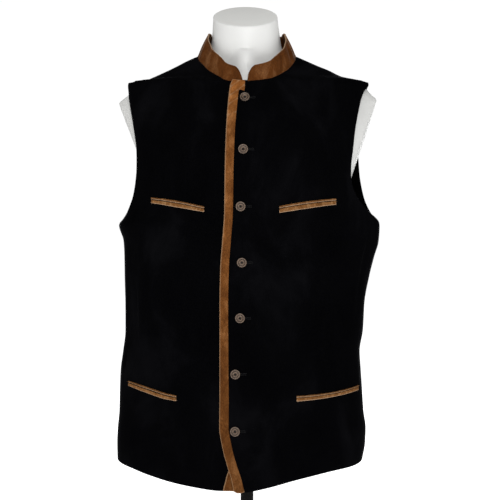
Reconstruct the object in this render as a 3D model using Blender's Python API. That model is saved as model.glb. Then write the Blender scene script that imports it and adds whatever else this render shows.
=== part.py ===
"""An outdoor vest of black velvet with tan velvet trim, worn on a white limbless dress form.

Metres, +Z up, the front faces -Y, and the stand's base rests on z = 0. Left and right are the
wearer's: the left front is at +X and laps over the right front. The cloth is one smooth surface,
read from a table of sections; every panel, binding, pocket and button is laid out on it by an
angle (0 at the front centre, 90 at the side, 180 at the back centre) and a height.
"""
import math

import bmesh
import bpy
from mathutils import Vector

# ---- driving dimensions -------------------------------------------------------------------------
CENTRE_X = -0.0024          # puts the middle of the whole object's width at x = 0
CLOTH = 0.0020              # thickness of the velvet panels
SEAM = 0.0003               # gap between neighbouring pieces
SHARP_EDGE = 40.0           # edges sharper than this many degrees stay sharp in the shading
TURN_STEP = 1.0             # degrees and metres over which the cloth's slope is measured
RISE_STEP = 0.0006
ROUND_FRONT = 2.35          # squareness of a section's front half (2 is an ellipse)
ROUND_BACK = 2.7            # and of its back half

ARMPIT = 0.620              # height of the armhole's lowest point
SHOULDER_TIP = 0.857        # height of the shoulder seam's outer end
NECK_POINT = 0.905          # height of its inner end, at the collar
HEM_SIDE = 0.2235           # height of the hem at the side seams

BINDING_PROUD = 0.0005      # how far the binding stands above the panel
LAP_DEPTH = 0.0034          # how far the right front lies behind the left one
LAP_RUN = 0.030             # width over which it sinks to that depth
LAP_LEVEL = 0.0030          # it is level again this far before the left front's edge

COLLAR_CLOTH = 0.0022
COLLAR_ROWS = 3
COLLAR_LIFT = 0.0010        # gap between the neckline and the collar
COLLAR_END_X = (-0.0068, -0.0008)   # front ends: on the right front, and on the left front
COLLAR_END_ROUND = 0.016    # length of the rounded end
COLLAR_END_RISE = 0.0015    # height left at the very end
COLLAR_END_POWER = 0.75     # 1 is a rounder end, and less is a squarer one
COLLAR_FRONT = 30.0         # the ends lie within this angle of the front centre
COLLAR_HUB_Y = -0.0050      # the collar leans towards the neck's middle, at NECK_X and this y
COLLAR_END_STEPS = (0.0, 0.3, 0.8, 1.5)    # degrees between the stations near an end

JET_CLOTH = 0.0014          # pocket trim
JET_LIFT = 0.0007

BUTTON_RADIUS = 0.0078
BUTTON_LIFT = 0.0005
BUTTON_SIDES = 15

FORM_SIDES = 48
FORM_EASE = 0.0034          # drop of the form's shoulder below the cloth's outer face
FORM_SKIN = {"left": 0.0050, "right": 0.0050, "front": 0.0085, "back": 0.0060}   # and at least this
FORM_UNDERSIDE = 0.252
FORM_EDGE = 0.010           # rounding of the underside's edge
NECK_X = -0.0015            # the neck stands a little to the right of the middle
NECK_BLEND = (0.86, 0.93)   # heights over which its middle moves there and its section turns oval
CAP_HEIGHT = 0.9730         # height of the slanted neck cap on the axis
CAP_SLOPE = 0.518           # its rise towards the back
CAP_EDGE = 0.0025
ARM_CUT_X = {"left": 0.2206, "right": 0.2194}   # the flat arm cut passes through this x ...
ARM_CUT_Z = 0.828           # ... at this height ...
ARM_CUT_SLOPE = {"left": 0.34, "right": 0.40}     # ... leans in by this much for each metre down ...
ARM_CUT_TURN = 0.12         # ... and by this much for each metre forward
ARM_CUT_SOFT = 0.0025       # rounding of its rim
STUMP_ROUND = 1.2           # above 1, the stump's swell is narrower than a sine's

BASE_RADIUS = 0.145
BASE_HEIGHT = 0.012
BASE_FOOT = 0.002           # rounding of its lower edge
BASE_EDGE = 0.004           # and of its upper one
BASE_SIDES = 48
BOSS_RADIUS = 0.024
BOSS_HEIGHT = 0.042
BOSS_EDGE = 0.002
BOSS_FOOT = 0.004           # the hollow rounding at the boss's foot goes this far out ...
BOSS_FOOT_RISES = (0.003, 0.008)   # ... and rises by these steps
POLE_RADIUS = 0.011
POLE_SIDES = 24


class Profile:
    """Rows of a short table, read as smooth curves over the first column."""

    def __init__(self, names, rows):
        self.keys = [row[0] for row in rows]
        self.values = {}
        self.slopes = {}
        for place, name in enumerate(names):
            column = [row[place] for row in rows]
            self.values[name] = column
            self.slopes[name] = smooth_slopes(self.keys, column)

    def at(self, name, key):
        keys = self.keys
        key = min(max(key, keys[0]), keys[-1])
        low = 0
        while low < len(keys) - 2 and key > keys[low + 1]:
            low += 1
        step = keys[low + 1] - keys[low]
        part = (key - keys[low]) / step
        values = self.values[name]
        slopes = self.slopes[name]
        square = part * part
        cube = square * part
        return ((2 * cube - 3 * square + 1) * values[low]
                + (cube - 2 * square + part) * step * slopes[low]
                + (3 * square - 2 * cube) * values[low + 1]
                + (cube - square) * step * slopes[low + 1])


def smooth_slopes(keys, values):
    """Slopes that never overshoot the rows: the harmonic mean of the two sides."""
    steps = [keys[i + 1] - keys[i] for i in range(len(keys) - 1)]
    rises = [(values[i + 1] - values[i]) / steps[i] for i in range(len(steps))]
    slopes = [rises[0]]
    for i in range(1, len(rises)):
        if rises[i - 1] * rises[i] <= 0:
            slopes.append(0.0)
        else:
            near = 2 * steps[i] + steps[i - 1]
            far = steps[i] + 2 * steps[i - 1]
            slopes.append((near + far) / (near / rises[i - 1] + far / rises[i]))
    slopes.append(rises[-1])
    return slopes


# ---- the cut, as short tables -------------------------------------------------------------------
# Horizontal sections of the cloth's outer face: half widths to the left and right, depths to the
# front and back. Above the shoulder tip the half width is that of the shoulder seam.
VEST = Profile(("height", "left", "right", "front", "back"), [
    (0.1850, 0.1920, 0.2185, 0.1240, 0.1285),
    (0.2200, 0.1945, 0.2190, 0.1240, 0.1280),
    (0.2500, 0.1998, 0.2196, 0.1230, 0.1260),
    (0.2750, 0.2009, 0.2186, 0.1220, 0.1235),
    (0.3050, 0.1970, 0.2160, 0.1208, 0.1205),
    (0.3350, 0.1953, 0.2155, 0.1195, 0.1165),
    (0.3750, 0.1928, 0.2139, 0.1178, 0.1125),
    (0.4050, 0.1910, 0.2098, 0.1165, 0.1090),
    (0.4400, 0.1965, 0.2060, 0.1152, 0.1062),
    (0.4870, 0.1994, 0.2062, 0.1150, 0.1075),
    (0.5300, 0.2067, 0.2070, 0.1172, 0.1115),
    (0.5650, 0.2155, 0.2076, 0.1205, 0.1165),
    (0.5900, 0.2228, 0.2090, 0.1230, 0.1200),
    (0.6180, 0.2244, 0.2168, 0.1252, 0.1235),
    (0.6270, 0.2212, 0.2100, 0.1258, 0.1246),
    (0.6400, 0.2142, 0.2036, 0.1264, 0.1260),
    (0.6650, 0.2066, 0.1992, 0.1270, 0.1280),
    (0.7000, 0.2026, 0.1978, 0.1272, 0.1298),
    (0.7400, 0.2000, 0.1967, 0.1245, 0.1300),
    (0.7800, 0.1985, 0.1975, 0.1165, 0.1255),
    (0.8200, 0.2002, 0.2000, 0.1010, 0.1150),
    (0.8400, 0.2035, 0.2012, 0.0920, 0.1080),
    (0.8510, 0.2055, 0.2017, 0.0868, 0.1030),
    (0.8570, 0.2062, 0.2010, 0.0785, 0.1000),
    (0.8600, 0.1955, 0.1745, 0.0735, 0.0982),
    (0.8645, 0.1696, 0.1638, 0.0670, 0.0955),
    (0.8705, 0.1548, 0.1508, 0.0600, 0.0922),
    (0.8780, 0.1408, 0.1352, 0.0515, 0.0870),
    (0.8850, 0.1240, 0.1213, 0.0440, 0.0805),
    (0.8960, 0.0995, 0.1005, 0.0320, 0.0685),
    (0.9050, 0.0790, 0.0800, 0.0230, 0.0500),
])

# How far the armhole's edge lies from the side, in degrees, on the fronts and on the back.
ARMHOLE = Profile(("height", "left", "right", "back"), [
    (0.6200, 0.0, 0.0, 0.0),
    (0.6280, 12.0, 7.0, 3.5),
    (0.6420, 22.5, 12.8, 7.5),
    (0.6650, 32.5, 20.0, 11.5),
    (0.6880, 35.6, 23.3, 14.0),
    (0.7050, 35.2, 24.3, 15.2),
    (0.7400, 31.6, 23.2, 15.5),
    (0.7800, 27.0, 18.2, 14.0),
    (0.8150, 21.9, 12.0, 10.5),
    (0.8300, 19.4, 8.6, 8.0),
    (0.8400, 17.0, 8.0, 6.5),
    (0.8480, 9.6, 6.0, 4.2),
    (0.8535, 3.4, 2.6, 1.6),
    (0.8570, 0.0, 0.0, 0.0),
])

HEM = Profile(("angle", "left", "right"), [
    (0.0, 0.1895, 0.1895),
    (10.0, 0.1985, 0.1917),
    (18.0, 0.2056, 0.1957),
    (30.0, 0.2130, 0.2026),
    (42.0, 0.2178, 0.2103),
    (61.0, 0.2205, 0.2195),
    (90.0, 0.2235, 0.2235),
    (135.0, 0.2215, 0.2215),
    (180.0, 0.2190, 0.2190),
])

NECKLINE = Profile(("angle", "height"), [
    (0.0, 0.8512),
    (4.15, 0.8530),
    (7.6, 0.8555),
    (11.9, 0.8612),
    (19.7, 0.8705),
    (32.5, 0.8849),
    (63.0, 0.9012),
    (90.0, 0.9050),
    (135.0, 0.9035),
    (180.0, 0.8980),
])

# The left front's free edge, and the width of the tan binding along it (wider at the top flap).
LEFT_EDGE = Profile(("height", "x", "width"), [
    (0.1850, -0.0195, 0.0175),
    (0.1925, -0.0215, 0.0172),
    (0.2103, -0.0252, 0.0165),
    (0.2326, -0.0320, 0.0158),
    (0.2610, -0.0394, 0.0155),
    (0.2940, -0.0443, 0.0150),
    (0.3340, -0.0440, 0.0150),
    (0.4830, -0.0441, 0.0140),
    (0.5450, -0.0428, 0.0140),
    (0.5860, -0.0398, 0.0140),
    (0.6380, -0.0362, 0.0140),
    (0.6980, -0.0356, 0.0142),
    (0.7650, -0.0337, 0.0146),
    (0.8060, -0.0312, 0.0148),
    (0.8310, -0.0289, 0.0156),
    (0.8350, -0.0284, 0.0238),
    (0.8415, -0.0276, 0.0240),
    (0.8530, -0.0232, 0.0205),
])

# The right front's free edge, and the width of its binding: hidden but for their lower end.
RIGHT_EDGE = Profile(("height", "x", "width"), [
    (0.1850, -0.0200, 0.0190),
    (0.1925, -0.0192, 0.0190),
    (0.2103, -0.0180, 0.0160),
    (0.2326, -0.0110, 0.0150),
    (0.2610, -0.0015, 0.0150),
    (0.2940, 0.0040, 0.0150),
    (0.3500, 0.0060, 0.0150),
    (0.5000, 0.0110, 0.0150),
    (0.7000, 0.0130, 0.0150),
    (0.8530, 0.0150, 0.0150),
])

# The lower end of the left binding, across its width: it hangs a little below the hem.
BINDING_END = Profile(("share", "height"), [
    (0.00, 0.1912),
    (0.15, 0.1890),
    (0.35, 0.1879),
    (0.70, 0.1886),
    (1.00, 0.1904),
])

COLLAR = Profile(("angle", "rise", "lean"), [
    (0.0, 0.0255, 0.0080),
    (8.0, 0.0290, 0.0080),
    (12.0, 0.0330, 0.0065),
    (20.0, 0.0356, 0.0080),
    (32.0, 0.0370, 0.0125),
    (63.0, 0.0390, 0.0180),
    (90.0, 0.0395, 0.0190),
    (135.0, 0.0415, 0.0120),
    (180.0, 0.0420, 0.0075),
])

# Soft folds: where they lie, their heights, their half width in degrees, and how far they go out.
FOLDS = [
    # angle, low, high, spread, out
    (66.0, 0.52, 0.66, 7.0, -0.0040),
    (51.0, 0.23, 0.33, 8.0, -0.0026),
    (-67.0, 0.34, 0.60, 7.0, -0.0038),
    (-50.0, 0.26, 0.50, 8.0, 0.0022),
    (120.0, 0.30, 0.62, 9.0, -0.0048),
    (-124.0, 0.27, 0.58, 9.0, -0.0042),
    (152.0, 0.23, 0.46, 9.0, 0.0030),
    (-155.0, 0.24, 0.50, 8.0, 0.0026),
    (180.0, 0.36, 0.52, 10.0, -0.0035),
]

# Pockets: the trim's four corners as x and height, and how its lines bend.
POCKETS = [
    # name, outer x, inner x, outer top, inner top, outer bottom, inner bottom, wave,
    # arch of the top line and of the bottom line, and the slit's share of the height
    ("chest_pocket_right", -0.1544, -0.0681, 0.6601, 0.6440, 0.6510, 0.6354, 0.0000, 0.0016, 0.0000, 0.13),
    ("chest_pocket_left", 0.1430, 0.0513, 0.6579, 0.6449, 0.6479, 0.6340, 0.0000, 0.0013, 0.0004, 0.11),
    ("hip_pocket_right", -0.1947, -0.1132, 0.3598, 0.3416, 0.3519, 0.3328, 0.0010, 0.0006, -0.0012, 0.18),
    ("hip_pocket_left", 0.1840, 0.0790, 0.3514, 0.3417, 0.3435, 0.3328, 0.0000, -0.0018, -0.0014, 0.11),
]
UPPER_JET_SHARE = 0.30      # the upper jet's share of the pocket trim's height
JET_COLUMNS = 10

BUTTONS = [
    # x, height
    (-0.0036, 0.8208),
    (-0.0062, 0.7353),
    (-0.0102, 0.6443),
    (-0.0083, 0.5552),
    (-0.0112, 0.4661),
    (-0.0188, 0.3766),
    (-0.0191, 0.2861),
]

BUTTON_PROFILE = [
    # share of the radius, height above the cloth
    (0.80, 0.0000),
    (0.98, 0.0008),
    (1.00, 0.0019),
    (0.90, 0.0031),
    (0.76, 0.0031),
    (0.62, 0.0021),
    (0.52, 0.0027),
    (0.36, 0.0027),
    (0.20, 0.0022),
    (0.16, 0.0010),
]

# The form: its torso, its neck, how far its throat comes forward, and how far the arm stumps swell
# out of the armholes.
FORM_TORSO = [
    # height, left, right, front, back
    (0.2520, 0.1600, 0.1600, 0.0900, 0.1080),
    (0.3000, 0.1680, 0.1680, 0.0960, 0.1120),
    (0.3800, 0.1640, 0.1640, 0.0990, 0.1040),
    (0.4500, 0.1550, 0.1550, 0.1000, 0.0940),
    (0.5200, 0.1570, 0.1570, 0.1045, 0.0960),
    (0.5800, 0.1640, 0.1640, 0.1125, 0.1060),
    (0.6400, 0.1700, 0.1700, 0.1190, 0.1160),
    (0.7000, 0.1780, 0.1780, 0.1210, 0.1215),
    (0.7400, 0.1840, 0.1840, 0.1185, 0.1225),
    (0.7800, 0.1885, 0.1885, 0.1105, 0.1180),
    (0.8200, 0.1920, 0.1910, 0.0920, 0.1070),
    (0.8400, 0.1945, 0.1925, 0.0830, 0.0995),
]
FORM_SHOULDER_HEIGHTS = (0.8480, 0.8535, 0.8565, 0.8600, 0.8660, 0.8740, 0.8790)
FORM_NECK = [
    (0.8860, 0.1000, 0.1000, 0.0390, 0.0560),
    (0.8930, 0.0800, 0.0800, 0.0420, 0.0530),
    (0.9010, 0.0690, 0.0690, 0.0475, 0.0520),
    (0.9110, 0.0630, 0.0630, 0.0515, 0.0525),
    (0.9230, 0.0595, 0.0595, 0.0540, 0.0525),
    (0.9380, 0.0575, 0.0575, 0.0552, 0.0520),
    (0.9550, 0.0554, 0.0566, 0.0552, 0.0515),
    (1.0100, 0.0500, 0.0545, 0.0545, 0.0510),
]
THROAT = Profile(("height", "out"), [
    (0.8565, 0.0),
    (0.8645, 0.0050),
    (0.8705, 0.0080),
    (0.8780, 0.0142),
    (0.8860, 0.0175),
    (0.8930, 0.0140),
    (0.9010, 0.0080),
    (0.9110, 0.0037),
    (0.9230, 0.0008),
    (0.9380, 0.0),
])
THROAT_SPREAD = 14.0        # degrees
STUMP = Profile(("height", "left", "right"), [
    (0.6600, 0.0, 0.0),
    (0.6900, 0.008, 0.008),
    (0.7400, 0.026, 0.026),
    (0.7800, 0.036, 0.036),
    (0.8050, 0.037, 0.036),
    (0.8220, 0.032, 0.029),
    (0.8300, 0.026, 0.020),
    (0.8380, 0.0165, 0.0095),
    (0.8440, 0.0080, 0.0035),
    (0.8480, 0.0025, 0.0010),
    (0.8530, 0.0, 0.0),
])
STUMP_MARGIN = 2.0          # degrees between the stump and the armhole's edge

SIDE_HEIGHTS = (
    [HEM_SIDE + (ARMPIT - HEM_SIDE) * i / 11 for i in range(11)]
    + [ARMPIT, 0.628, 0.642, 0.665, 0.695, 0.735, 0.775, 0.810, 0.835, 0.850]
    + [SHOULDER_TIP, 0.8585, 0.861, 0.866, 0.874, 0.884, 0.8882, 0.895, NECK_POINT]
)
STRIP_COLUMNS = 3
FRONT_COLUMNS = 14
FRONT_GATHER = 1.35         # above 1, the columns stand closer near the free edge
BACK_COLUMNS = 22
FORM_HEIGHTS = (0.29, 0.34, 0.40, 0.46, 0.52, 0.58, 0.63, 0.668, 0.70, 0.73, 0.76, 0.785, 0.806,
                0.82, 0.832, 0.842, 0.8505, 0.8545, 0.858, 0.863, 0.870, 0.878, 0.886, 0.893,
                0.901, 0.911, 0.923, 0.938)
NECK_RINGS = 3              # from there up to the slanted cap
UNDERSIDE_TURNS = (0.0, 30.0, 60.0)     # degrees round the underside's edge
CAP_TURNS = (45.0, 90.0)                # and round the neck cap's edge


# ---- the cloth's surface ------------------------------------------------------------------------
def mix(first, second, part):
    return first + (second - first) * part


def ease(part):
    """0 to 1 with level ends."""
    part = min(max(part, 0.0), 1.0)
    return part * part * (3 - 2 * part)


def wrap(angle):
    return (angle + 180.0) % 360.0 - 180.0


def section_point(table, angle, height, oval=0.0):
    """The point of a section at an angle, before any folds; with oval at 1 it is an ellipse."""
    angle = wrap(angle)
    turn = math.radians(abs(angle))
    front = abs(angle) <= 90.0
    power = 2 / mix(ROUND_FRONT if front else ROUND_BACK, 2.0, oval)
    across = math.sin(turn) ** power
    along = abs(math.cos(turn)) ** power
    x = table.at("left" if angle >= 0 else "right", height) * across
    depth = table.at("front" if front else "back", height)
    return Vector((math.copysign(x, angle), -depth * along if front else depth * along, height))


def fold_out(angle, height):
    total = 0.0
    for place, low, high, spread, out in FOLDS:
        away = wrap(angle - place) / spread
        if abs(away) > 3 or not low < height < high:
            continue
        total += out * math.exp(-away * away) * math.sin(math.pi * (height - low) / (high - low)) ** 2
    return total


def vest_point(angle, height):
    point = section_point(VEST, angle, height)
    out = fold_out(angle, height)
    if out:
        flat = Vector((point.x, point.y, 0.0))
        point += flat.normalized() * out
    return point


def vest_normal(angle, height):
    around = vest_point(angle + TURN_STEP, height) - vest_point(angle - TURN_STEP, height)
    upward = vest_point(angle, height + RISE_STEP) - vest_point(angle, height - RISE_STEP)
    return around.cross(upward).normalized()


def on_vest(angle, height, lift):
    return vest_point(angle, height) + vest_normal(angle, height) * lift


def angle_at(x, height):
    """The front's angle where a section has this x."""
    half = VEST.at("left" if x >= 0 else "right", height)
    share = min(abs(x) / half, 1.0)
    return math.copysign(math.degrees(math.asin(share ** (ROUND_FRONT / 2))), x)


def seam_angle(height, table_column, roundness):
    """Degrees from the side to half a seam's gap, at this height."""
    share = SEAM / 2 / VEST.at(table_column, height)
    return math.degrees(math.asin(min(share ** (roundness / 2), 1.0)))


def side_angle(height, part, armhole):
    """Degrees from the side to a panel's edge: its seam, or its armhole."""
    round_of = ROUND_FRONT if part == "front" else ROUND_BACK
    seam = seam_angle(height, part, round_of)
    if ARMPIT < height < SHOULDER_TIP:
        return max(seam, ARMHOLE.at(armhole, height))
    return seam


def hem_height(angle):
    angle = wrap(angle)
    return HEM.at("left" if angle >= 0 else "right", abs(angle))


def neck_height(angle):
    return NECKLINE.at("height", abs(wrap(angle)))


def lap_lift(angle, height):
    """The right front sinks behind the left one near the lap."""
    x = vest_point(angle, height).x
    edge = LEFT_EDGE.at("x", height)
    return -LAP_DEPTH * ease((x - (edge - LAP_RUN)) / (LAP_RUN - LAP_LEVEL))


# ---- solids -------------------------------------------------------------------------------------
def finish(name, bm, material):
    bmesh.ops.recalc_face_normals(bm, faces=bm.faces)
    mesh = bpy.data.meshes.new(name)
    bm.to_mesh(mesh)
    bm.free()
    mesh.materials.append(material)
    mesh.shade_smooth()
    mesh.set_sharp_from_angle(angle=math.radians(SHARP_EDGE))
    obj = bpy.data.objects.new(name, mesh)
    bpy.context.scene.collection.objects.link(obj)
    obj.parent = ROOT
    return obj


def shell(name, outer, inner, material):
    """A closed wall between two grids of points with the same rows and columns."""
    bm = bmesh.new()
    grids = [[[bm.verts.new(point) for point in row] for row in grid] for grid in (outer, inner)]
    top = len(outer) - 1
    side = len(outer[0]) - 1
    for row in range(top):
        for column in range(side):
            for grid in grids:
                bm.faces.new((grid[row][column], grid[row][column + 1],
                              grid[row + 1][column + 1], grid[row + 1][column]))
    rim = [(0, column) for column in range(side)]
    rim += [(row, side) for row in range(top)]
    rim += [(top, column) for column in range(side, 0, -1)]
    rim += [(row, 0) for row in range(top, 0, -1)]
    for place, (row, column) in enumerate(rim):
        next_row, next_column = rim[(place + 1) % len(rim)]
        bm.faces.new((grids[0][row][column], grids[0][next_row][next_column],
                      grids[1][next_row][next_column], grids[1][row][column]))
    return finish(name, bm, material)


def cloth_wall(name, stations, thickness, material):
    """A wall on the vest's surface: stations hold an angle, a height and a lift for each point."""
    outer = [[on_vest(angle, height, lift) for angle, height, lift in row] for row in stations]
    inner = [[on_vest(angle, height, lift - thickness) for angle, height, lift in row]
             for row in stations]
    return shell(name, outer, inner, material)


def loft(name, rings, material):
    """A closed solid through rings of points, with a flat fan on each end."""
    bm = bmesh.new()
    loops = [[bm.verts.new(point) for point in ring] for ring in rings]
    count = len(rings[0])
    for lower, upper in zip(loops, loops[1:]):
        for i in range(count):
            j = (i + 1) % count
            bm.faces.new((lower[i], lower[j], upper[j], upper[i]))
    for loop in (loops[0], loops[-1]):
        middle = bm.verts.new(sum((vert.co for vert in loop), Vector()) / count)
        for i in range(count):
            bm.faces.new((loop[i], loop[(i + 1) % count], middle))
    return finish(name, bm, material)


def turned(name, profile, sides, material):
    """A solid turned about Z through (radius, height) pairs, bottom to top."""
    rings = []
    for radius, height in profile:
        turns = [2 * math.pi * i / sides for i in range(sides)]
        rings.append([Vector((radius * math.cos(t), radius * math.sin(t), height)) for t in turns])
    return loft(name, rings, material)


def material_of(name, colour, roughness, metallic=0.0):
    material = bpy.data.materials.new(name)
    material.use_nodes = True
    shader = material.node_tree.nodes["Principled BSDF"]
    shader.inputs["Base Color"].default_value = (*colour, 1.0)
    shader.inputs["Roughness"].default_value = roughness
    shader.inputs["Metallic"].default_value = metallic
    return material


# ---- sub-parts ----------------------------------------------------------------------------------
def edge_line(edge_x):
    """The free edge's lowest and highest point, as heights."""
    low = hem_height(angle_at(edge_x(HEM.at("left", 0.0)), HEM.at("left", 0.0)))
    high = neck_height(angle_at(edge_x(NECKLINE.at("height", 0.0)), NECKLINE.at("height", 0.0)))
    return low, high


def front_stations(side, edge_x, lift_of):
    """Rows of a front panel, from its free edge to its side: side is 1 for the left front."""
    low, high = edge_line(edge_x)
    low_angle = angle_at(edge_x(low), low)
    high_angle = angle_at(edge_x(high), high)
    rows = []
    for side_height in SIDE_HEIGHTS:
        part = (side_height - HEM_SIDE) / (NECK_POINT - HEM_SIDE)
        edge_height = mix(low, high, part)
        start = angle_at(edge_x(edge_height), edge_height)
        end = side * (90.0 - side_angle(side_height, "front", "left" if side > 0 else "right"))
        row = []
        for column in range(FRONT_COLUMNS + 1):
            share = (column / FRONT_COLUMNS) ** FRONT_GATHER
            bottom = hem_height(mix(low_angle, side * 90.0, share))
            top = neck_height(mix(high_angle, side * 90.0, share))
            angle = mix(start, end, share)
            height = mix(bottom, top, part)
            row.append((angle, height, lift_of(angle, height)))
        rows.append(row if side > 0 else row[::-1])
    return rows


def back_stations():
    rows = []
    for side_height in SIDE_HEIGHTS:
        part = (side_height - HEM_SIDE) / (NECK_POINT - HEM_SIDE)
        start = 90.0 + side_angle(side_height, "back", "back")
        end = 360.0 - start
        row = []
        for column in range(BACK_COLUMNS + 1):
            share = column / BACK_COLUMNS
            middle = 90.0 + 180.0 * share
            height = mix(hem_height(middle), neck_height(middle), part)
            row.append((mix(start, end, share), height, 0.0))
        rows.append(row)
    return rows


def strip_stations(left_x, right_x, lowest, lift_of):
    """Rows of a binding between two edges, each given as x over the height; lowest(share) is its
    lower end's height across its width, or None for the hem's.
    """
    rows = []
    for side_height in SIDE_HEIGHTS:
        part = (side_height - HEM_SIDE) / (NECK_POINT - HEM_SIDE)
        row = []
        for column in range(STRIP_COLUMNS + 1):
            def place(height, share=column / STRIP_COLUMNS):
                return mix(left_x(height), right_x(height), share)
            low, high = edge_line(place)
            if lowest:
                low = lowest(column / STRIP_COLUMNS)
            height = mix(low, high, part)
            angle = angle_at(place(height), height)
            row.append((angle, height, lift_of(angle, height)))
        rows.append(row)
    return rows


def left_edge(height):
    return LEFT_EDGE.at("x", height)


def left_binding_edge(height):
    return LEFT_EDGE.at("x", height) + LEFT_EDGE.at("width", height)


def right_edge(height):
    return RIGHT_EDGE.at("x", height)


def right_binding_edge(height):
    return RIGHT_EDGE.at("x", height) - RIGHT_EDGE.at("width", height)


def make_panels(black):
    def flat(angle, height):
        return 0.0
    left = front_stations(1, lambda height: left_binding_edge(height) + SEAM, flat)
    right = front_stations(-1, lambda height: right_binding_edge(height) - SEAM, lap_lift)
    cloth_wall("front_left", left, CLOTH, black)
    cloth_wall("front_right", right, CLOTH, black)
    cloth_wall("back", back_stations(), CLOTH, black)


def binding_end(share):
    return BINDING_END.at("height", share)


def make_bindings(tan):
    def proud(angle, height):
        return BINDING_PROUD
    left = strip_stations(left_edge, left_binding_edge, binding_end, proud)
    right = strip_stations(right_binding_edge, right_edge, None, lap_lift)
    cloth_wall("binding_left", left, CLOTH + BINDING_PROUD, tan)
    cloth_wall("binding_right", right, CLOTH, tan)


def collar_angles():
    """From the right front's end, back round the neck, to the left front's end."""
    height = NECKLINE.at("height", 0.0)
    columns = [90.0 * (i / FRONT_COLUMNS) ** FRONT_GATHER for i in range(1, FRONT_COLUMNS)]
    behind = [90.0 + 180.0 * i / BACK_COLUMNS for i in range(BACK_COLUMNS // 2)]
    halves = []
    for end_x in COLLAR_END_X:
        end = abs(angle_at(end_x, height))
        near = [end + step for step in COLLAR_END_STEPS]
        halves.append(near + [angle for angle in columns + behind
                              if angle > near[-1] + 0.5])
    return [-angle for angle in halves[0]] + [-180.0] + halves[1][::-1]


def collar_base(angle):
    """The collar's lower edge; on the right front it sinks with that front behind the lap."""
    height = neck_height(angle)
    lift = lap_lift(angle, height) if -90.0 < angle < 0.0 else 0.0
    point = on_vest(angle, height, lift)
    upward = (on_vest(angle, height + RISE_STEP, lift) - point).normalized()
    return point + upward * COLLAR_LIFT


def collar_point(angle, share):
    base = collar_base(angle)
    end = COLLAR_END_X[0] if angle < 0 else COLLAR_END_X[1]
    along = 1.0
    if abs(angle) < COLLAR_FRONT:
        along = min(abs(base.x - end) / COLLAR_END_ROUND, 1.0)
    rounded = (1 - (1 - along) ** 2) ** COLLAR_END_POWER
    rise = max(COLLAR.at("rise", abs(angle)) * rounded, COLLAR_END_RISE) * share
    lean = COLLAR.at("lean", abs(angle)) * rounded * share
    out = Vector((base.x - NECK_X, base.y - COLLAR_HUB_Y, 0.0)).normalized()
    return base + Vector((0, 0, rise)) - out * lean


def make_collar(tan):
    angles = collar_angles()
    rows = COLLAR_ROWS
    outer = [[collar_point(angle, row / rows) for angle in angles] for row in range(rows + 1)]
    inner = []
    for row in range(rows + 1):
        line = []
        for place, point in enumerate(outer[row]):
            before = outer[row][max(place - 1, 0)]
            after = outer[row][min(place + 1, len(angles) - 1)]
            around = after - before
            upward = outer[rows][place] - outer[0][place]
            # The stations run clockwise seen from above, so this cross product faces the neck.
            line.append(point + around.cross(upward).normalized() * COLLAR_CLOTH)
        inner.append(line)
    shell("collar", outer, inner, tan)


def jet(name, outer_x, inner_x, ends, material):
    """A raised bar between two lines, each with its outer and inner height, its wave and its arch."""
    rows = []
    for outer_height, inner_height, wave, arch in ends:
        row = []
        for column in range(JET_COLUMNS + 1):
            share = column / JET_COLUMNS
            x = mix(outer_x, inner_x, share)
            height = mix(outer_height, inner_height, share)
            height += wave * math.sin(2 * math.pi * share) + arch * math.sin(math.pi * share)
            row.append((angle_at(x, height), height, JET_LIFT + JET_CLOTH))
        rows.append(row if outer_x < inner_x else row[::-1])
    cloth_wall(name, rows, JET_CLOTH, material)


def make_pockets(tan):
    for pocket in POCKETS:
        name, outer_x, inner_x = pocket[:3]
        outer_top, inner_top, outer_low, inner_low, wave, arch_top, arch_low, slit = pocket[3:]

        def line(share):
            return (mix(outer_top, outer_low, share), mix(inner_top, inner_low, share), wave,
                    mix(arch_top, arch_low, share))
        lower = UPPER_JET_SHARE + slit
        jet(name + "_jet", outer_x, inner_x, [line(UPPER_JET_SHARE), line(0.0)], tan)
        jet(name + "_welt", outer_x, inner_x, [line(1.0), line(lower)], tan)


def make_buttons(horn):
    for number, (x, height) in enumerate(BUTTONS, start=1):
        profile = [(share * BUTTON_RADIUS, rise) for share, rise in BUTTON_PROFILE]
        button = turned("button_%d" % number, profile, BUTTON_SIDES, horn)
        angle = angle_at(x, height)
        normal = vest_normal(angle, height)
        button.location = on_vest(angle, height, BUTTON_LIFT)
        button.rotation_mode = "QUATERNION"
        button.rotation_quaternion = normal.to_track_quat("Z", "Y")


def form_table():
    """Torso rows, shoulder rows that lie just under the cloth, and neck rows, in one table."""
    rows = list(FORM_TORSO)
    for height in FORM_SHOULDER_HEIGHTS:
        row = [height]
        for column in ("left", "right", "front", "back"):
            below = VEST.at(column, height + FORM_EASE)
            row.append(min(below, VEST.at(column, height) - FORM_SKIN[column]))
        rows.append(tuple(row))
    rows += FORM_NECK
    return Profile(("height", "left", "right", "front", "back"), rows)


def soft_least(one, other, soft):
    """The smaller value, with the change from one to the other rounded."""
    share = min(max(0.5 + (other - one) / (2 * soft), 0.0), 1.0)
    return mix(other, one, share) - soft * share * (1 - share)


def stump_reach(angle, height):
    """How far the arm stump swells out, inside the armhole's opening."""
    column = "left" if wrap(angle) >= 0 else "right"
    reach = STUMP.at(column, height)
    if reach <= 0:
        return 0.0
    first = 90.0 - ARMHOLE.at(column, height) + STUMP_MARGIN
    last = 90.0 + ARMHOLE.at("back", height) - STUMP_MARGIN
    part = (abs(wrap(angle)) - first) / (last - first)
    if not 0 < part < 1:
        return 0.0
    return reach * math.sin(math.pi * part) ** STUMP_ROUND


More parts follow.
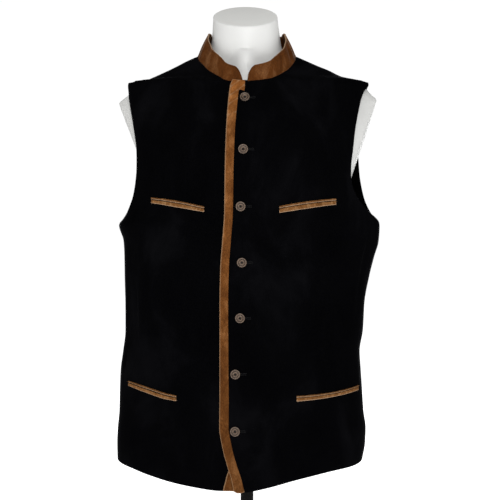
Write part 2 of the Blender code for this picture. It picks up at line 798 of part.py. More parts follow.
def form_point(table, angle, height):
    oval = ease((height - NECK_BLEND[0]) / (NECK_BLEND[1] - NECK_BLEND[0]))
    point = section_point(table, angle, height, oval)
    point.y -= THROAT.at("out", height) * math.exp(-((wrap(angle) / THROAT_SPREAD) ** 2))
    point.x += math.copysign(stump_reach(angle, height), point.x)
    if STUMP.keys[0] < height < SHOULDER_TIP:
        side = "left" if point.x >= 0 else "right"
        limit = ARM_CUT_X[side] - ARM_CUT_SLOPE[side] * (ARM_CUT_Z - height) + ARM_CUT_TURN * point.y
        point.x = math.copysign(soft_least(abs(point.x), limit, ARM_CUT_SOFT), point.x)
    point.x += NECK_X * oval
    return point


def underside_rings(table, angles):
    """The rounded edge between the flat underside and the torso."""
    rings = []
    lowest = [form_point(table, angle, FORM_UNDERSIDE) for angle in angles]
    for turn in UNDERSIDE_TURNS:
        inset = FORM_EDGE * (1 - math.sin(math.radians(turn)))
        rise = FORM_EDGE * (1 - math.cos(math.radians(turn)))
        ring = []
        for point in lowest:
            flat = Vector((point.x, point.y, 0.0))
            shrunk = flat - flat.normalized() * inset
            ring.append(Vector((shrunk.x, shrunk.y, FORM_UNDERSIDE + rise)))
        rings.append(ring)
    return rings


def neck_rings(table, angles):
    """From the last level ring up to the slanted cap."""
    start = FORM_HEIGHTS[-1]
    rings = []
    for number in range(1, NECK_RINGS + 1):
        ring = []
        for angle in angles:
            cap = CAP_HEIGHT + CAP_SLOPE * form_point(table, angle, start).y - CAP_EDGE
            ring.append(form_point(table, angle, mix(start, cap, number / NECK_RINGS)))
        rings.append(ring)
    return rings


def cap_rings(top):
    """The cap's rounded edge, over the highest ring of the neck."""
    centre = sum(top, Vector()) / len(top)
    rings = []
    for turn in CAP_TURNS:
        inset = CAP_EDGE * (1 - math.cos(math.radians(turn)))
        rise = Vector((0, 0, CAP_EDGE * math.sin(math.radians(turn))))
        rings.append([point + (centre - point).normalized() * inset + rise for point in top])
    return rings


def make_form(white):
    table = form_table()
    angles = [360.0 * i / FORM_SIDES for i in range(FORM_SIDES)]
    rings = underside_rings(table, angles)
    for height in FORM_HEIGHTS:
        rings.append([form_point(table, angle, height) for angle in angles])
    rings += neck_rings(table, angles)
    rings += cap_rings(rings[-1])
    loft("form", rings, white)


def make_stand(dark):
    base = [
        (BASE_RADIUS - BASE_FOOT, 0.0),
        (BASE_RADIUS, BASE_FOOT),
        (BASE_RADIUS, BASE_HEIGHT - BASE_EDGE),
        (BASE_RADIUS - BASE_EDGE, BASE_HEIGHT),
        (BOSS_RADIUS + BOSS_FOOT, BASE_HEIGHT + BOSS_FOOT_RISES[0]),
        (BOSS_RADIUS, BASE_HEIGHT + BOSS_FOOT_RISES[1]),
        (BOSS_RADIUS, BOSS_HEIGHT - BOSS_EDGE),
        (BOSS_RADIUS - BOSS_EDGE, BOSS_HEIGHT),
    ]
    turned("stand_base", base, BASE_SIDES, dark)
    pole_low = BOSS_HEIGHT + SEAM
    pole_high = FORM_UNDERSIDE - SEAM
    turned("stand_pole", [(POLE_RADIUS, pole_low), (POLE_RADIUS, pole_high)], POLE_SIDES, dark)


def clear_scene():
    for obj in list(bpy.data.objects):
        bpy.data.objects.remove(obj, do_unlink=True)


clear_scene()
ROOT = bpy.data.objects.new("vest_on_form", None)
bpy.context.scene.collection.objects.link(ROOT)
ROOT.location.x = CENTRE_X

BLACK_VELVET = material_of("black_velvet", (0.012, 0.012, 0.016), 0.95)
TAN_VELVET = material_of("tan_velvet", (0.26, 0.12, 0.045), 0.85)
HORN = material_of("horn", (0.20, 0.14, 0.08), 0.40)
WHITE_GLOSS = material_of("white_gloss", (0.80, 0.80, 0.78), 0.35)
DARK_PAINT = material_of("dark_paint", (0.02, 0.02, 0.02), 0.45)

make_panels(BLACK_VELVET)
make_bindings(TAN_VELVET)
make_collar(TAN_VELVET)
make_pockets(TAN_VELVET)
make_buttons(HORN)
make_form(WHITE_GLOSS)
make_stand(DARK_PAINT)
bpy.context.view_layer.update()
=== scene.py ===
"""The looks of an outdoor vest in black velvet with tan velvet trim, on its dress form and stand.

Metres, +Z up, the front faces -Y. The cloth is one smooth surface, read from a table of sections,
with soft folds and creases laid on it. Every panel, binding, pocket and button lies on it
by an angle (0 at the front centre, 90 at the side, 180 at the back centre) and a height. Left and
right are the wearer's: the left front is at +X.
"""
import math

import bmesh
import bpy
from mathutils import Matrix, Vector, noise


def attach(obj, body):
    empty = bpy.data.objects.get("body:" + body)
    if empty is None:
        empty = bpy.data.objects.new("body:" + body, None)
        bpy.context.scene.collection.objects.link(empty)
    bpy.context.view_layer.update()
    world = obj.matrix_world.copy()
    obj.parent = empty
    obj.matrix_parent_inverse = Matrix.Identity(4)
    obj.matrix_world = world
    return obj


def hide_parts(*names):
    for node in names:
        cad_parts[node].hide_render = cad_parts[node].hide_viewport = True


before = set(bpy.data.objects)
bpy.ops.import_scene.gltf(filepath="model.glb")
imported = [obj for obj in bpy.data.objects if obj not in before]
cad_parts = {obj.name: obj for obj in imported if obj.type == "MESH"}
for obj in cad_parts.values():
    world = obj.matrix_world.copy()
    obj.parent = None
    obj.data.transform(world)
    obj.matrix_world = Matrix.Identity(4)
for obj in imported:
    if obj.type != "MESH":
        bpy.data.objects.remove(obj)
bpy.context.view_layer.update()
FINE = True

# ---- driving dimensions -------------------------------------------------------------------------
CENTRE_X = -0.0024          # the garment's own middle, in the row frame
CLOTH = 0.0020              # thickness of the velvet panels
SEAM_OVERLAP = 0.0004       # neighbouring pieces press into each other by this much at their seams
ROUND_FRONT = 2.35          # squareness of a section's front half (2 is an ellipse)
ROUND_BACK = 2.7            # and of its back half

ARMPIT = 0.620
SHOULDER_TIP = 0.857
NECK_POINT = 0.905
HEM_SIDE = 0.2235

PANEL_EDGE = 0.0013         # how far a panel's turned edge reaches in
BINDING_PROUD = 0.0006
BINDING_EDGE = 0.0015
UNDER_BINDING_EDGE = 0.0014
BINDING_HIGHLIGHT_OFF = 0.0022      # added to the distance from the pale edge where the painted edge highlight is left off
BINDING_BEAD = (0.00045, 0.0013, 0.0010)        # out, distance from the edge, spread
PUCKER_OUT = (0.00040, 0.00085)                 # slanting puckers below and above ...
PUCKER_HEIGHTS = (0.66, 0.82)                   # ... these heights
FINE_PUCKER_OUT = 0.00022
LAP_DEPTH = 0.0034          # how far the right front sinks behind the left one ...
LAP_RUN = 0.030             # ... over this run before the lap ...
LAP_LEVEL = 0.0030          # ... of which this much is level

COLLAR_CLOTH = 0.0022
COLLAR_LIFT = -0.0028       # its lower edge presses into the fronts and the back
COLLAR_EVEN = 1.8           # degrees over which its lower edge is evened out
COLLAR_END_X = (-0.0068, -0.0008)       # its right and left end
COLLAR_END_ROUND = 0.016    # their rounding
COLLAR_END_POWER = 0.75
COLLAR_END_RISE = 0.0015
COLLAR_BULGE = 0.0012
COLLAR_EDGE = 0.0013
# Added to the distance from the edge where the collar's painted edge highlight is left off.
COLLAR_HIGHLIGHT_OFF = 0.0026
COLLAR_BEAD = (0.00050, 0.0012, 0.0009)
COLLAR_STREAK = 0.00035
COLLAR_BODY = 0.0050        # the collar leans towards a point this far in front of the neck's axis

JET_CLOTH = 0.0014
JET_LIFT = 0.0002
# Added to the distance from the edge where the painted edge highlight of the jets and the right
# binding is left off.
JET_HIGHLIGHT_OFF = 0.0010
JET_WAVER = 0.00026         # unevenness of a jet's line
JET_EDGES = (0.45, 0.32)    # rounding of the upper and the lower jet, for their height

BUTTON_RADIUS = 0.0079
BUTTON_LIFT = 0.0002
BUTTON_SIDES = 56
BUTTONHOLE_START = 0.0055   # from the button's middle
BUTTONHOLE_LENGTH = 0.0120
STITCHES = 18               # on each side of the slit
STITCH_AWAY = 0.0011
STITCH_HALF = 0.0008
STITCH_RADIUS = 0.00030
STITCH_LIFT = 0.0002
STITCH_STEP = 0.0004        # over which a stitch's directions are measured

NECK_X = -0.0015
NECK_BLEND = (0.86, 0.93)   # heights over which the sections turn into the neck's ellipse
FORM_SIDES = 144
FORM_EASE = 0.0034          # the shoulders lie this far below the cloth ...
FORM_SKIN = {"left": 0.0050, "right": 0.0050, "front": 0.0085, "back": 0.0060}     # ... or inside it
FORM_UNDERSIDE = 0.252
FORM_EDGE = 0.010           # rounding of the underside's edge
CAP_HEIGHT = 0.9730         # the neck cap at the middle, and its rise for each metre back
CAP_SLOPE = 0.518
CAP_EDGE = 0.0025
NECK_RINGS = 15
PLATE_FADE = 0.0009         # the arm cut's painted shade ends over this
STUMP_PAINTED_SHADE = 0.75           # the stump's share of that painted shade
ARM_CUT_X = {"left": 0.2206, "right": 0.2194}   # the flat arm cut passes through this x ...
ARM_CUT_Z = 0.828           # ... at this height ...
ARM_CUT_SLOPE = {"left": 0.34, "right": 0.40}     # ... leans in by this much for each metre down ...
ARM_CUT_TURN = 0.12         # ... and by this much for each metre forward
ARM_CUT_FLARE = (0.012, 0.032)      # how far out it starts at its foot, over what height
ARM_CUT_SOFT = 0.0025       # rounding of its rim
STUMP_ROUND = 1.2           # roundness of the stump's swell

BASE_RADIUS = 0.145
BASE_HEIGHT = 0.012
BOSS_RADIUS = 0.024
BOSS_HEIGHT = 0.042
POLE_RADIUS = 0.011

CAMERA_DISTANCE = 1.90
CAMERA_HEIGHT = 0.575
CAMERA_LENS = 80.47
CAMERA_SHIFT = 0.006


class Profile:
    """Rows of a short table, read as smooth curves over the first column."""

    def __init__(self, names, rows):
        self.keys = [row[0] for row in rows]
        self.values = {}
        self.slopes = {}
        for place, name in enumerate(names):
            column = [row[place] for row in rows]
            self.values[name] = column
            self.slopes[name] = smooth_slopes(self.keys, column)

    def at(self, name, key):
        keys = self.keys
        key = min(max(key, keys[0]), keys[-1])
        low = 0
        while low < len(keys) - 2 and key > keys[low + 1]:
            low += 1
        step = keys[low + 1] - keys[low]
        part = (key - keys[low]) / step
        values = self.values[name]
        slopes = self.slopes[name]
        square = part * part
        cube = square * part
        return ((2 * cube - 3 * square + 1) * values[low]
                + (cube - 2 * square + part) * step * slopes[low]
                + (3 * square - 2 * cube) * values[low + 1]
                + (cube - square) * step * slopes[low + 1])


def smooth_slopes(keys, values):
    """Slopes that never overshoot the rows: the harmonic mean of the two sides."""
    steps = [keys[i + 1] - keys[i] for i in range(len(keys) - 1)]
    rises = [(values[i + 1] - values[i]) / steps[i] for i in range(len(steps))]
    slopes = [rises[0]]
    for i in range(1, len(rises)):
        if rises[i - 1] * rises[i] <= 0:
            slopes.append(0.0)
        else:
            near = 2 * steps[i] + steps[i - 1]
            far = steps[i] + 2 * steps[i - 1]
            slopes.append((near + far) / (near / rises[i - 1] + far / rises[i]))
    slopes.append(rises[-1])
    return slopes


# ---- the cut, as short tables -------------------------------------------------------------------
# Horizontal sections of the cloth's outer face: half widths to the left and right, depths to the
# front and back. Above the shoulder tip the half width is that of the shoulder seam.
VEST = Profile(("height", "left", "right", "front", "back"), [
    (0.1850, 0.1920, 0.2185, 0.1240, 0.1285),
    (0.2200, 0.1945, 0.2190, 0.1240, 0.1280),
    (0.2500, 0.1998, 0.2196, 0.1230, 0.1260),
    (0.2750, 0.2009, 0.2186, 0.1220, 0.1235),
    (0.3050, 0.1970, 0.2160, 0.1208, 0.1205),
    (0.3350, 0.1953, 0.2155, 0.1195, 0.1165),
    (0.3750, 0.1928, 0.2139, 0.1178, 0.1125),
    (0.4050, 0.1910, 0.2098, 0.1165, 0.1090),
    (0.4400, 0.1965, 0.2060, 0.1152, 0.1062),
    (0.4870, 0.1994, 0.2062, 0.1150, 0.1075),
    (0.5300, 0.2067, 0.2070, 0.1172, 0.1115),
    (0.5650, 0.2155, 0.2076, 0.1205, 0.1165),
    (0.5900, 0.2228, 0.2090, 0.1230, 0.1200),
    (0.6180, 0.2244, 0.2168, 0.1252, 0.1235),
    (0.6270, 0.2212, 0.2100, 0.1258, 0.1246),
    (0.6400, 0.2142, 0.2036, 0.1264, 0.1260),
    (0.6650, 0.2066, 0.1992, 0.1270, 0.1280),
    (0.7000, 0.2026, 0.1978, 0.1272, 0.1298),
    (0.7400, 0.2000, 0.1967, 0.1245, 0.1300),
    (0.7800, 0.1985, 0.1975, 0.1165, 0.1255),
    (0.8200, 0.2002, 0.2000, 0.1010, 0.1150),
    (0.8400, 0.2035, 0.2012, 0.0920, 0.1080),
    (0.8510, 0.2055, 0.2017, 0.0868, 0.1030),
    (0.8570, 0.2062, 0.2010, 0.0785, 0.1000),
    (0.8600, 0.1955, 0.1745, 0.0735, 0.0982),
    (0.8645, 0.1696, 0.1638, 0.0670, 0.0955),
    (0.8705, 0.1548, 0.1508, 0.0600, 0.0922),
    (0.8780, 0.1408, 0.1352, 0.0515, 0.0870),
    (0.8850, 0.1240, 0.1213, 0.0440, 0.0805),
    (0.8960, 0.0995, 0.1005, 0.0320, 0.0685),
    (0.9050, 0.0790, 0.0800, 0.0230, 0.0500),
])

# How far the armhole's edge lies from the side, in degrees, on the fronts and on the back.
ARMHOLE = Profile(("height", "left", "right", "back"), [
    (0.6200, 0.0, 0.0, 0.0),
    (0.6280, 12.0, 7.0, 3.5),
    (0.6420, 22.5, 12.8, 7.5),
    (0.6650, 32.5, 20.0, 11.5),
    (0.6880, 35.6, 23.3, 14.0),
    (0.7050, 35.2, 24.3, 15.2),
    (0.7400, 31.6, 23.2, 15.5),
    (0.7800, 27.0, 18.2, 14.0),
    (0.8150, 21.9, 12.0, 10.5),
    (0.8300, 19.4, 8.6, 8.0),
    (0.8400, 17.0, 8.0, 6.5),
    (0.8480, 9.6, 6.0, 4.2),
    (0.8535, 3.4, 2.6, 1.6),
    (0.8570, 0.0, 0.0, 0.0),
])

HEM = Profile(("angle", "left", "right"), [
    (0.0, 0.1895, 0.1895),
    (10.0, 0.1985, 0.1917),
    (18.0, 0.2056, 0.1957),
    (30.0, 0.2130, 0.2026),
    (42.0, 0.2178, 0.2103),
    (61.0, 0.2205, 0.2195),
    (90.0, 0.2235, 0.2235),
    (135.0, 0.2215, 0.2215),
    (180.0, 0.2190, 0.2190),
])

NECKLINE = Profile(("angle", "height"), [
    (0.0, 0.8512), (4.15, 0.8530), (7.6, 0.8555), (11.9, 0.8612), (19.7, 0.8705),
    (32.5, 0.8849), (63.0, 0.9012), (90.0, 0.9050), (135.0, 0.9035), (180.0, 0.8980),
])

# The left front's free edge.
LEFT_EDGE = Profile(("height", "x"), [
    (0.1850, -0.0195), (0.1925, -0.0215), (0.2103, -0.0252), (0.2326, -0.0320), (0.2610, -0.0394),
    (0.2940, -0.0443), (0.3340, -0.0440), (0.4830, -0.0441), (0.5450, -0.0428), (0.5860, -0.0398),
    (0.6380, -0.0362), (0.6980, -0.0356), (0.7650, -0.0337), (0.8060, -0.0312), (0.8310, -0.0289),
    (0.8350, -0.0284), (0.8415, -0.0276), (0.8530, -0.0232),
])

# The right front's free edge, and the width of its binding: hidden but for their lower end.
RIGHT_EDGE = Profile(("height", "x", "width"), [
    (0.1850, -0.0200, 0.0190),
    (0.1925, -0.0192, 0.0190),
    (0.2103, -0.0180, 0.0160),
    (0.2326, -0.0110, 0.0150),
    (0.2610, -0.0015, 0.0150),
    (0.2940, 0.0040, 0.0150),
    (0.3500, 0.0060, 0.0150),
    (0.5000, 0.0110, 0.0150),
    (0.7000, 0.0130, 0.0150),
    (0.8530, 0.0150, 0.0150),
])

# The lower end of the left binding, across its width: it hangs a little below the hem.
BINDING_END = Profile(("share", "height"), [
    (0.00, 0.1912), (0.15, 0.1890), (0.35, 0.1879), (0.70, 0.1886), (1.00, 0.1904),
])

COLLAR = Profile(("angle", "rise", "lean"), [
    (0.0, 0.0255, 0.0080),
    (8.0, 0.0290, 0.0080),
    (12.0, 0.0330, 0.0065),
    (20.0, 0.0356, 0.0080),
    (32.0, 0.0370, 0.0125),
    (63.0, 0.0390, 0.0180),
    (90.0, 0.0395, 0.0190),
    (135.0, 0.0415, 0.0120),
    (180.0, 0.0420, 0.0075),
])

# Soft folds: where they lie, their heights, their half width in degrees, and how far they go out.
FOLDS = [
    # angle, low, high, spread, out
    (66.0, 0.52, 0.66, 7.0, -0.0040),
    (51.0, 0.23, 0.33, 8.0, -0.0026),
    (-67.0, 0.34, 0.60, 7.0, -0.0038),
    (-50.0, 0.26, 0.50, 8.0, 0.0022),
    (120.0, 0.30, 0.62, 9.0, -0.0048),
    (-124.0, 0.27, 0.58, 9.0, -0.0042),
    (152.0, 0.23, 0.46, 9.0, 0.0030),
    (-155.0, 0.24, 0.50, 8.0, 0.0026),
    (180.0, 0.36, 0.52, 10.0, -0.0035),
]

# Pockets: the trim's four corners as x and height, and how its lines bend.
POCKETS = [
    # name, outer x, inner x, outer top, inner top, outer bottom, inner bottom, wave,
    # arch of the top line and of the bottom line, and the slit's share of the height
    ("chest_pocket_right", -0.1544, -0.0681, 0.6601, 0.6440, 0.6510, 0.6354, 0.0, 0.0016, 0.0, 0.13),
    ("chest_pocket_left", 0.1430, 0.0513, 0.6579, 0.6449, 0.6479, 0.6340, 0.0, 0.0013, 0.0004, 0.11),
    ("hip_pocket_right", -0.1947, -0.1132, 0.3598, 0.3416, 0.3519, 0.3328, 0.001, 0.0006, -0.0012,
     0.18),
    ("hip_pocket_left", 0.1840, 0.0790, 0.3514, 0.3417, 0.3435, 0.3328, 0.0, -0.0018, -0.0014, 0.11),
]
UPPER_JET_SHARE = 0.30      # the upper jet's share of the pocket trim's height

BUTTONS = [
    # x, height
    (-0.0036, 0.8208), (-0.0062, 0.7353), (-0.0102, 0.6443), (-0.0083, 0.5552), (-0.0112, 0.4661),
    (-0.0188, 0.3766), (-0.0191, 0.2861),
]


# The form: its torso, its neck, how far its throat comes forward, and how far the arm stumps swell
# out of the armholes.
FORM_TORSO = [
    # height, left, right, front, back
    (0.2520, 0.1600, 0.1600, 0.0900, 0.1080),
    (0.3000, 0.1680, 0.1680, 0.0960, 0.1120),
    (0.3800, 0.1640, 0.1640, 0.0990, 0.1040),
    (0.4500, 0.1550, 0.1550, 0.1000, 0.0940),
    (0.5200, 0.1570, 0.1570, 0.1045, 0.0960),
    (0.5800, 0.1640, 0.1640, 0.1125, 0.1060),
    (0.6400, 0.1700, 0.1700, 0.1190, 0.1160),
    (0.7000, 0.1780, 0.1780, 0.1210, 0.1215),
    (0.7400, 0.1840, 0.1840, 0.1185, 0.1225),
    (0.7800, 0.1885, 0.1885, 0.1105, 0.1180),
    (0.8200, 0.1920, 0.1910, 0.0920, 0.1070),
    (0.8400, 0.1945, 0.1925, 0.0830, 0.0995),
]
FORM_SHOULDER_HEIGHTS = (0.8480, 0.8535, 0.8565, 0.8600, 0.8660, 0.8740, 0.8790)
FORM_NECK = [
    (0.8860, 0.1000, 0.1000, 0.0390, 0.0560),
    (0.8930, 0.0800, 0.0800, 0.0420, 0.0530),
    (0.9010, 0.0690, 0.0690, 0.0475, 0.0520),
    (0.9110, 0.0630, 0.0630, 0.0515, 0.0525),
    (0.9230, 0.0595, 0.0595, 0.0540, 0.0525),
    (0.9380, 0.0575, 0.0575, 0.0552, 0.0520),
    (0.9550, 0.0554, 0.0566, 0.0552, 0.0515),
    (1.0100, 0.0500, 0.0545, 0.0545, 0.0510),
]
THROAT = Profile(("height", "out"), [
    (0.8565, 0.0), (0.8645, 0.0050), (0.8705, 0.0080), (0.8780, 0.0142), (0.8860, 0.0175),
    (0.8930, 0.0140), (0.9010, 0.0080), (0.9110, 0.0037), (0.9230, 0.0008), (0.9380, 0.0),
])
# The shell comes forward in the collar's gap: from this height, over this much, how far, half width.
THROAT_FILL = (0.8440, 0.0640, 0.0120, 0.0180)
THROAT_SPREAD = 14.0        # degrees
STUMP = Profile(("height", "left", "right"), [
    (0.6600, 0.0, 0.0),
    (0.6900, 0.008, 0.008),
    (0.7400, 0.026, 0.026),
    (0.7800, 0.036, 0.036),
    (0.8050, 0.037, 0.036),
    (0.8220, 0.032, 0.029),
    (0.8300, 0.026, 0.020),
    (0.8380, 0.0165, 0.0095),
    (0.8440, 0.0080, 0.0035),
    (0.8480, 0.0025, 0.0010),
    (0.8530, 0.0, 0.0),
])
STUMP_MARGIN = 2.0          # degrees between the stump and the armhole's edge

FORM_NECK_START = 0.938

# The width of the left binding without its corner flap.
STRIP = Profile(("height", "width"), [
    (0.1850, 0.0175), (0.2103, 0.0165), (0.2610, 0.0155), (0.3340, 0.0150), (0.4830, 0.0140),
    (0.6380, 0.0140), (0.7650, 0.0146), (0.8310, 0.0156), (0.8530, 0.0150),
])

# The corner flap at the strip's top, as x and height.
FLAP_NOTCH = (-0.0122, 0.8340)
FLAP_TIP = (-0.0042, 0.8312)
FLAP_TOP = (-0.0030, 0.8500)
FLAP_TOP_LEFT = 0.8526
FLAP_SHARE = 0.955          # share of the strip's rows below the notch
FLAP_TIP_SHARE = 0.34       # share of the flap's rows that end on its lower edge
FLAP_PROUD = 0.0008
FLAP_BOW = 0.0006           # how far its lower edge bows up
FLAP_X = -0.0200            # its creases are measured from here
FLAP_Z = 0.8360
FLAP_CREASES = [
    # offset in height, width, out
    (0.0040, 0.0022, 0.0006),
    (0.0005, 0.0016, -0.0006),
    (-0.0110, 0.0024, 0.0006),
    (-0.0160, 0.0022, -0.0005),
    (-0.0330, 0.0030, -0.0005),
    (-0.0520, 0.0034, 0.0004),
]

# Painted highlights on crease ridges across the binding: height at the x below, rise, half width
# and strength.
CREASE_HIGHLIGHTS_FROM = -0.0256
CREASE_HIGHLIGHT_DISTANCE = 0.0008    # a crease's painted highlight is as pale as the painted edge highlight this far from the edge
BINDING_CREASE_HIGHLIGHTS = [
    (0.8395, 0.80, 0.0022, 0.95),
    (0.8262, 0.75, 0.0026, 0.97),
    (0.8120, 0.70, 0.0020, 0.94),
    (0.7930, 0.40, 0.0022, 0.88),
]

COLLAR_CREASES = [
    # angle, spread, out
    (33.0, 3.0, -0.0012),
    (41.0, 4.5, 0.0012),
    (56.0, 5.0, -0.0010),
    (-34.0, 3.0, 0.0004),
    (-43.0, 4.5, 0.0012),
    (-58.0, 5.0, -0.0009),
    (97.0, 6.0, 0.0008),
    (-104.0, 7.0, -0.0008),
    (136.0, 7.0, -0.0008),
    (-150.0, 7.0, 0.0008),
]

# Soft creases: from one (angle, height) to another, half width in metres, and how far they go
# out.
CREASES = [
    # from angle, from height, to angle, to height, width, out
    (62.0, 0.600, 66.0, 0.470, 0.0075, -0.0022),
    (57.0, 0.585, 60.0, 0.440, 0.0060, 0.0012),
    (70.0, 0.640, 55.0, 0.700, 0.0100, -0.0020),
    (50.0, 0.660, 36.0, 0.760, 0.0130, 0.0012),
    (-64.0, 0.560, -58.0, 0.350, 0.0080, -0.0024),
    (-54.0, 0.620, -50.0, 0.430, 0.0070, 0.0014),
    (-74.0, 0.500, -70.0, 0.330, 0.0060, -0.0016),
    (-68.0, 0.640, -52.0, 0.705, 0.0100, -0.0018),
    (-45.0, 0.650, -33.0, 0.770, 0.0130, 0.0012),
    (84.0, 0.520, 79.0, 0.330, 0.0085, -0.0020),
    (40.0, 0.300, 48.0, 0.215, 0.0110, -0.0018),
    (-36.0, 0.330, -46.0, 0.215, 0.0110, -0.0016),
    (104.0, 0.610, 112.0, 0.430, 0.0080, -0.0026),
    (118.0, 0.560, 121.0, 0.330, 0.0090, 0.0016),
    (-106.0, 0.600, -116.0, 0.400, 0.0085, -0.0024),
    (-121.0, 0.520, -127.0, 0.300, 0.0075, 0.0015),
    (140.0, 0.480, 146.0, 0.250, 0.0105, -0.0020),
    (-143.0, 0.500, -139.0, 0.290, 0.0095, -0.0022),
    (166.0, 0.550, 172.0, 0.380, 0.0110, -0.0018),
    (-170.0, 0.520, -166.0, 0.300, 0.0100, -0.0020),
    (128.0, 0.760, 150.0, 0.690, 0.0130, -0.0018),
    (-126.0, 0.740, -147.0, 0.680, 0.0120, -0.0016),
    (112.0, 0.650, 134.0, 0.620, 0.0100, -0.0022),
    (-113.0, 0.655, -131.0, 0.615, 0.0095, -0.0020),
]
DRAPE_OUT = 0.0006          # slow unevenness of the cloth
DRAPE_SIZE = 0.055
DEGREE_OF_CLOTH = 0.0033    # metres of cloth for a degree, on average
CREASE_REACH = 0.12
CREASE_BOW = 0.12           # how far a crease bows out, for its width


# ---- the cloth's surface ------------------------------------------------------------------------
def mix(first, second, part):
    return first + (second - first) * part


def ease(part):
    """0 to 1 with level ends."""
    part = min(max(part, 0.0), 1.0)
    return part * part * (3 - 2 * part)


def bell(away):
    """A smooth hump: 1 in the middle, nearly 0 from 3 on."""
    return math.exp(-away * away)


def swell(share):
    """0 at both ends and 1 in the middle."""
    return math.sin(math.pi * share)


def uneven(x, y, z):
    """Smooth noise, from about -1 to 1."""
    return noise.noise(Vector((x, y, z)))


def wrap(angle):
    return (angle + 180.0) % 360.0 - 180.0


def side_of(value):
    """The wearer's side of an angle or an x."""
    return "left" if value >= 0 else "right"


def section_point(table, angle, height, oval=0.0):
    """The point of a section at an angle, before any folds; with oval at 1 it is an ellipse."""
    angle = wrap(angle)
    turn = math.radians(abs(angle))
    front = abs(angle) <= 90.0
    power = 2 / mix(ROUND_FRONT if front else ROUND_BACK, 2.0, oval)
    across = math.sin(turn) ** power
    along = abs(math.cos(turn)) ** power
    x = table.at(side_of(angle), height) * across
    depth = table.at("front" if front else "back", height)
    return Vector((math.copysign(x, angle), -depth * along if front else depth * along, height))


def fold_out(angle, height):
    total = 0.0
    for place, low, high, spread, out in FOLDS:
        away = wrap(angle - place) / spread
        if abs(away) <= 3 and low < height < high:
            total += out * bell(away) * swell((height - low) / (high - low)) ** 2
    return total


def crease_out(point, angle, height):
    """The listed creases and the slow unevenness at one place."""
    total = 0.0
    for angle_a, height_a, angle_b, height_b, width, out in CREASES:
        from_x = wrap(angle - angle_a) * DEGREE_OF_CLOTH
        if abs(from_x) > CREASE_REACH:
            continue
        from_z = height - height_a
        run_x = wrap(angle_b - angle_a) * DEGREE_OF_CLOTH
        run_z = height_b - height_a
        length = math.hypot(run_x, run_z)
        along = (from_x * run_x + from_z * run_z) / length
        if not 0.0 < along < length:
            continue
        bow = CREASE_BOW * width * math.sin(2 * math.pi * along / length + 40 * width)
        away = ((from_x * run_z - from_z * run_x) / length + bow) / width
        if abs(away) < 3:
            total += out * bell(away) * swell(along / length) ** 0.8
    slow = noise.noise(Vector((point.x, point.y * 0.8, point.z * 0.55)) / DRAPE_SIZE)
    return total + DRAPE_OUT * slow


def vest_point(angle, height):
    point = section_point(VEST, angle, height)
    out = fold_out(angle, height) + crease_out(point, angle, height)
    return point + Vector((point.x, point.y, 0.0)).normalized() * out


def vest_normal(angle, height, turn=1.0, step=0.0006):
    around = vest_point(angle + turn, height) - vest_point(angle - turn, height)
    upward = vest_point(angle, height + step) - vest_point(angle, height - step)
    return around.cross(upward).normalized()


def on_vest(angle, height, lift):
    return vest_point(angle, height) + vest_normal(angle, height) * lift


def angle_at(x, height):
    """The front's angle where a section has this x."""
    share = min(abs(x) / VEST.at(side_of(x), height), 1.0)
    return math.copysign(math.degrees(math.asin(share ** (ROUND_FRONT / 2))), x)


def on_front(x, height, lift):
    return on_vest(angle_at(x, height), height, lift)


def side_angle(height, part, armhole):
    """Degrees from the side to a panel's edge: its armhole, or its seam a little past the side."""
    roundness = ROUND_FRONT if part == "front" else ROUND_BACK
    share = SEAM_OVERLAP / 2 / VEST.at(part, height)
    seam = -math.degrees(math.asin(min(share ** (roundness / 2), 1.0)))
    return max(seam, ARMHOLE.at(armhole, height)) if ARMPIT < height < SHOULDER_TIP else seam


def hem_height(angle):
    angle = wrap(angle)
    return HEM.at(side_of(angle), abs(angle))


def neck_height(angle):
    return NECKLINE.at("height", abs(wrap(angle)))


def lap_lift(angle, height):
    """The right front sinks behind the left one near the lap."""
    x = section_point(VEST, angle, height).x
    edge = LEFT_EDGE.at("x", height)
    return -LAP_DEPTH * ease((x - (edge - LAP_RUN)) / (LAP_RUN - LAP_LEVEL))


# ---- meshes -------------------------------------------------------------------------------------
def keep(name, bm, look, node_names):
    """The finished piece: smooth, on the part's one body, in place of its CAD nodes."""
    slot, *materials = look
    bmesh.ops.recalc_face_normals(bm, faces=bm.faces)
    mesh = bpy.data.meshes.new(name)
    bm.to_mesh(mesh)
    bm.free()
    for material in materials:
        mesh.materials.append(material)
    mesh.shade_smooth()
    obj = bpy.data.objects.new(name, mesh)
    bpy.context.scene.collection.objects.link(obj)
    obj.location.x = CENTRE_X
    bpy.context.view_layer.update()
    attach(obj, "root")
    if node_names:
        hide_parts(*node_names)
    return obj


def spaced(length, count, edge):
    """Places along a length: close together within the rounded edges, even between them."""
    near = [0.0, 0.10 * edge, 0.35 * edge, 0.75 * edge, 1.3 * edge]
    inside = length - 2 * near[-1]
    middle = [near[-1] + inside * i / count for i in range(1, count)]
    return near + middle + [length - place for place in near[::-1]]


def running_lengths(points):
    total = [0.0]
    for before, after in zip(points, points[1:]):
        total.append(total[-1] + (after - before).length)
    return total


def shares_at(lengths, places):
    """The shares from 0 to 1 of a sampled line at which these lengths lie."""
    last = len(lengths) - 1
    shares = []
    spot = 0
    for place in places:
        while spot < last - 1 and lengths[spot + 1] < place:
            spot += 1
        step = lengths[spot + 1] - lengths[spot]
        part = (place - lengths[spot]) / step if step > 0 else 0.0
        shares.append(min(max((spot + part) / last, 0.0), 1.0))
    return shares


def grid_of(surface, rows, columns, edge, samples=40):
    """Points of surface(column share, row share), evenly spaced, and each one's edge distance."""
    heights = running_lengths([surface(0.5, i / 60) for i in range(61)])
    row_places = spaced(heights[-1], rows, edge)
    points = []
    distances = []
    for row_place, row_share in zip(row_places, shares_at(heights, row_places)):
        lengths = running_lengths([surface(i / samples, row_share) for i in range(samples + 1)])
        places = spaced(lengths[-1], columns, edge)
        points.append([surface(share, row_share) for share in shares_at(lengths, places)])
        ends = min(row_place, heights[-1] - row_place)
        distances.append([min(place, lengths[-1] - place, ends) for place in places])
    return points, distances


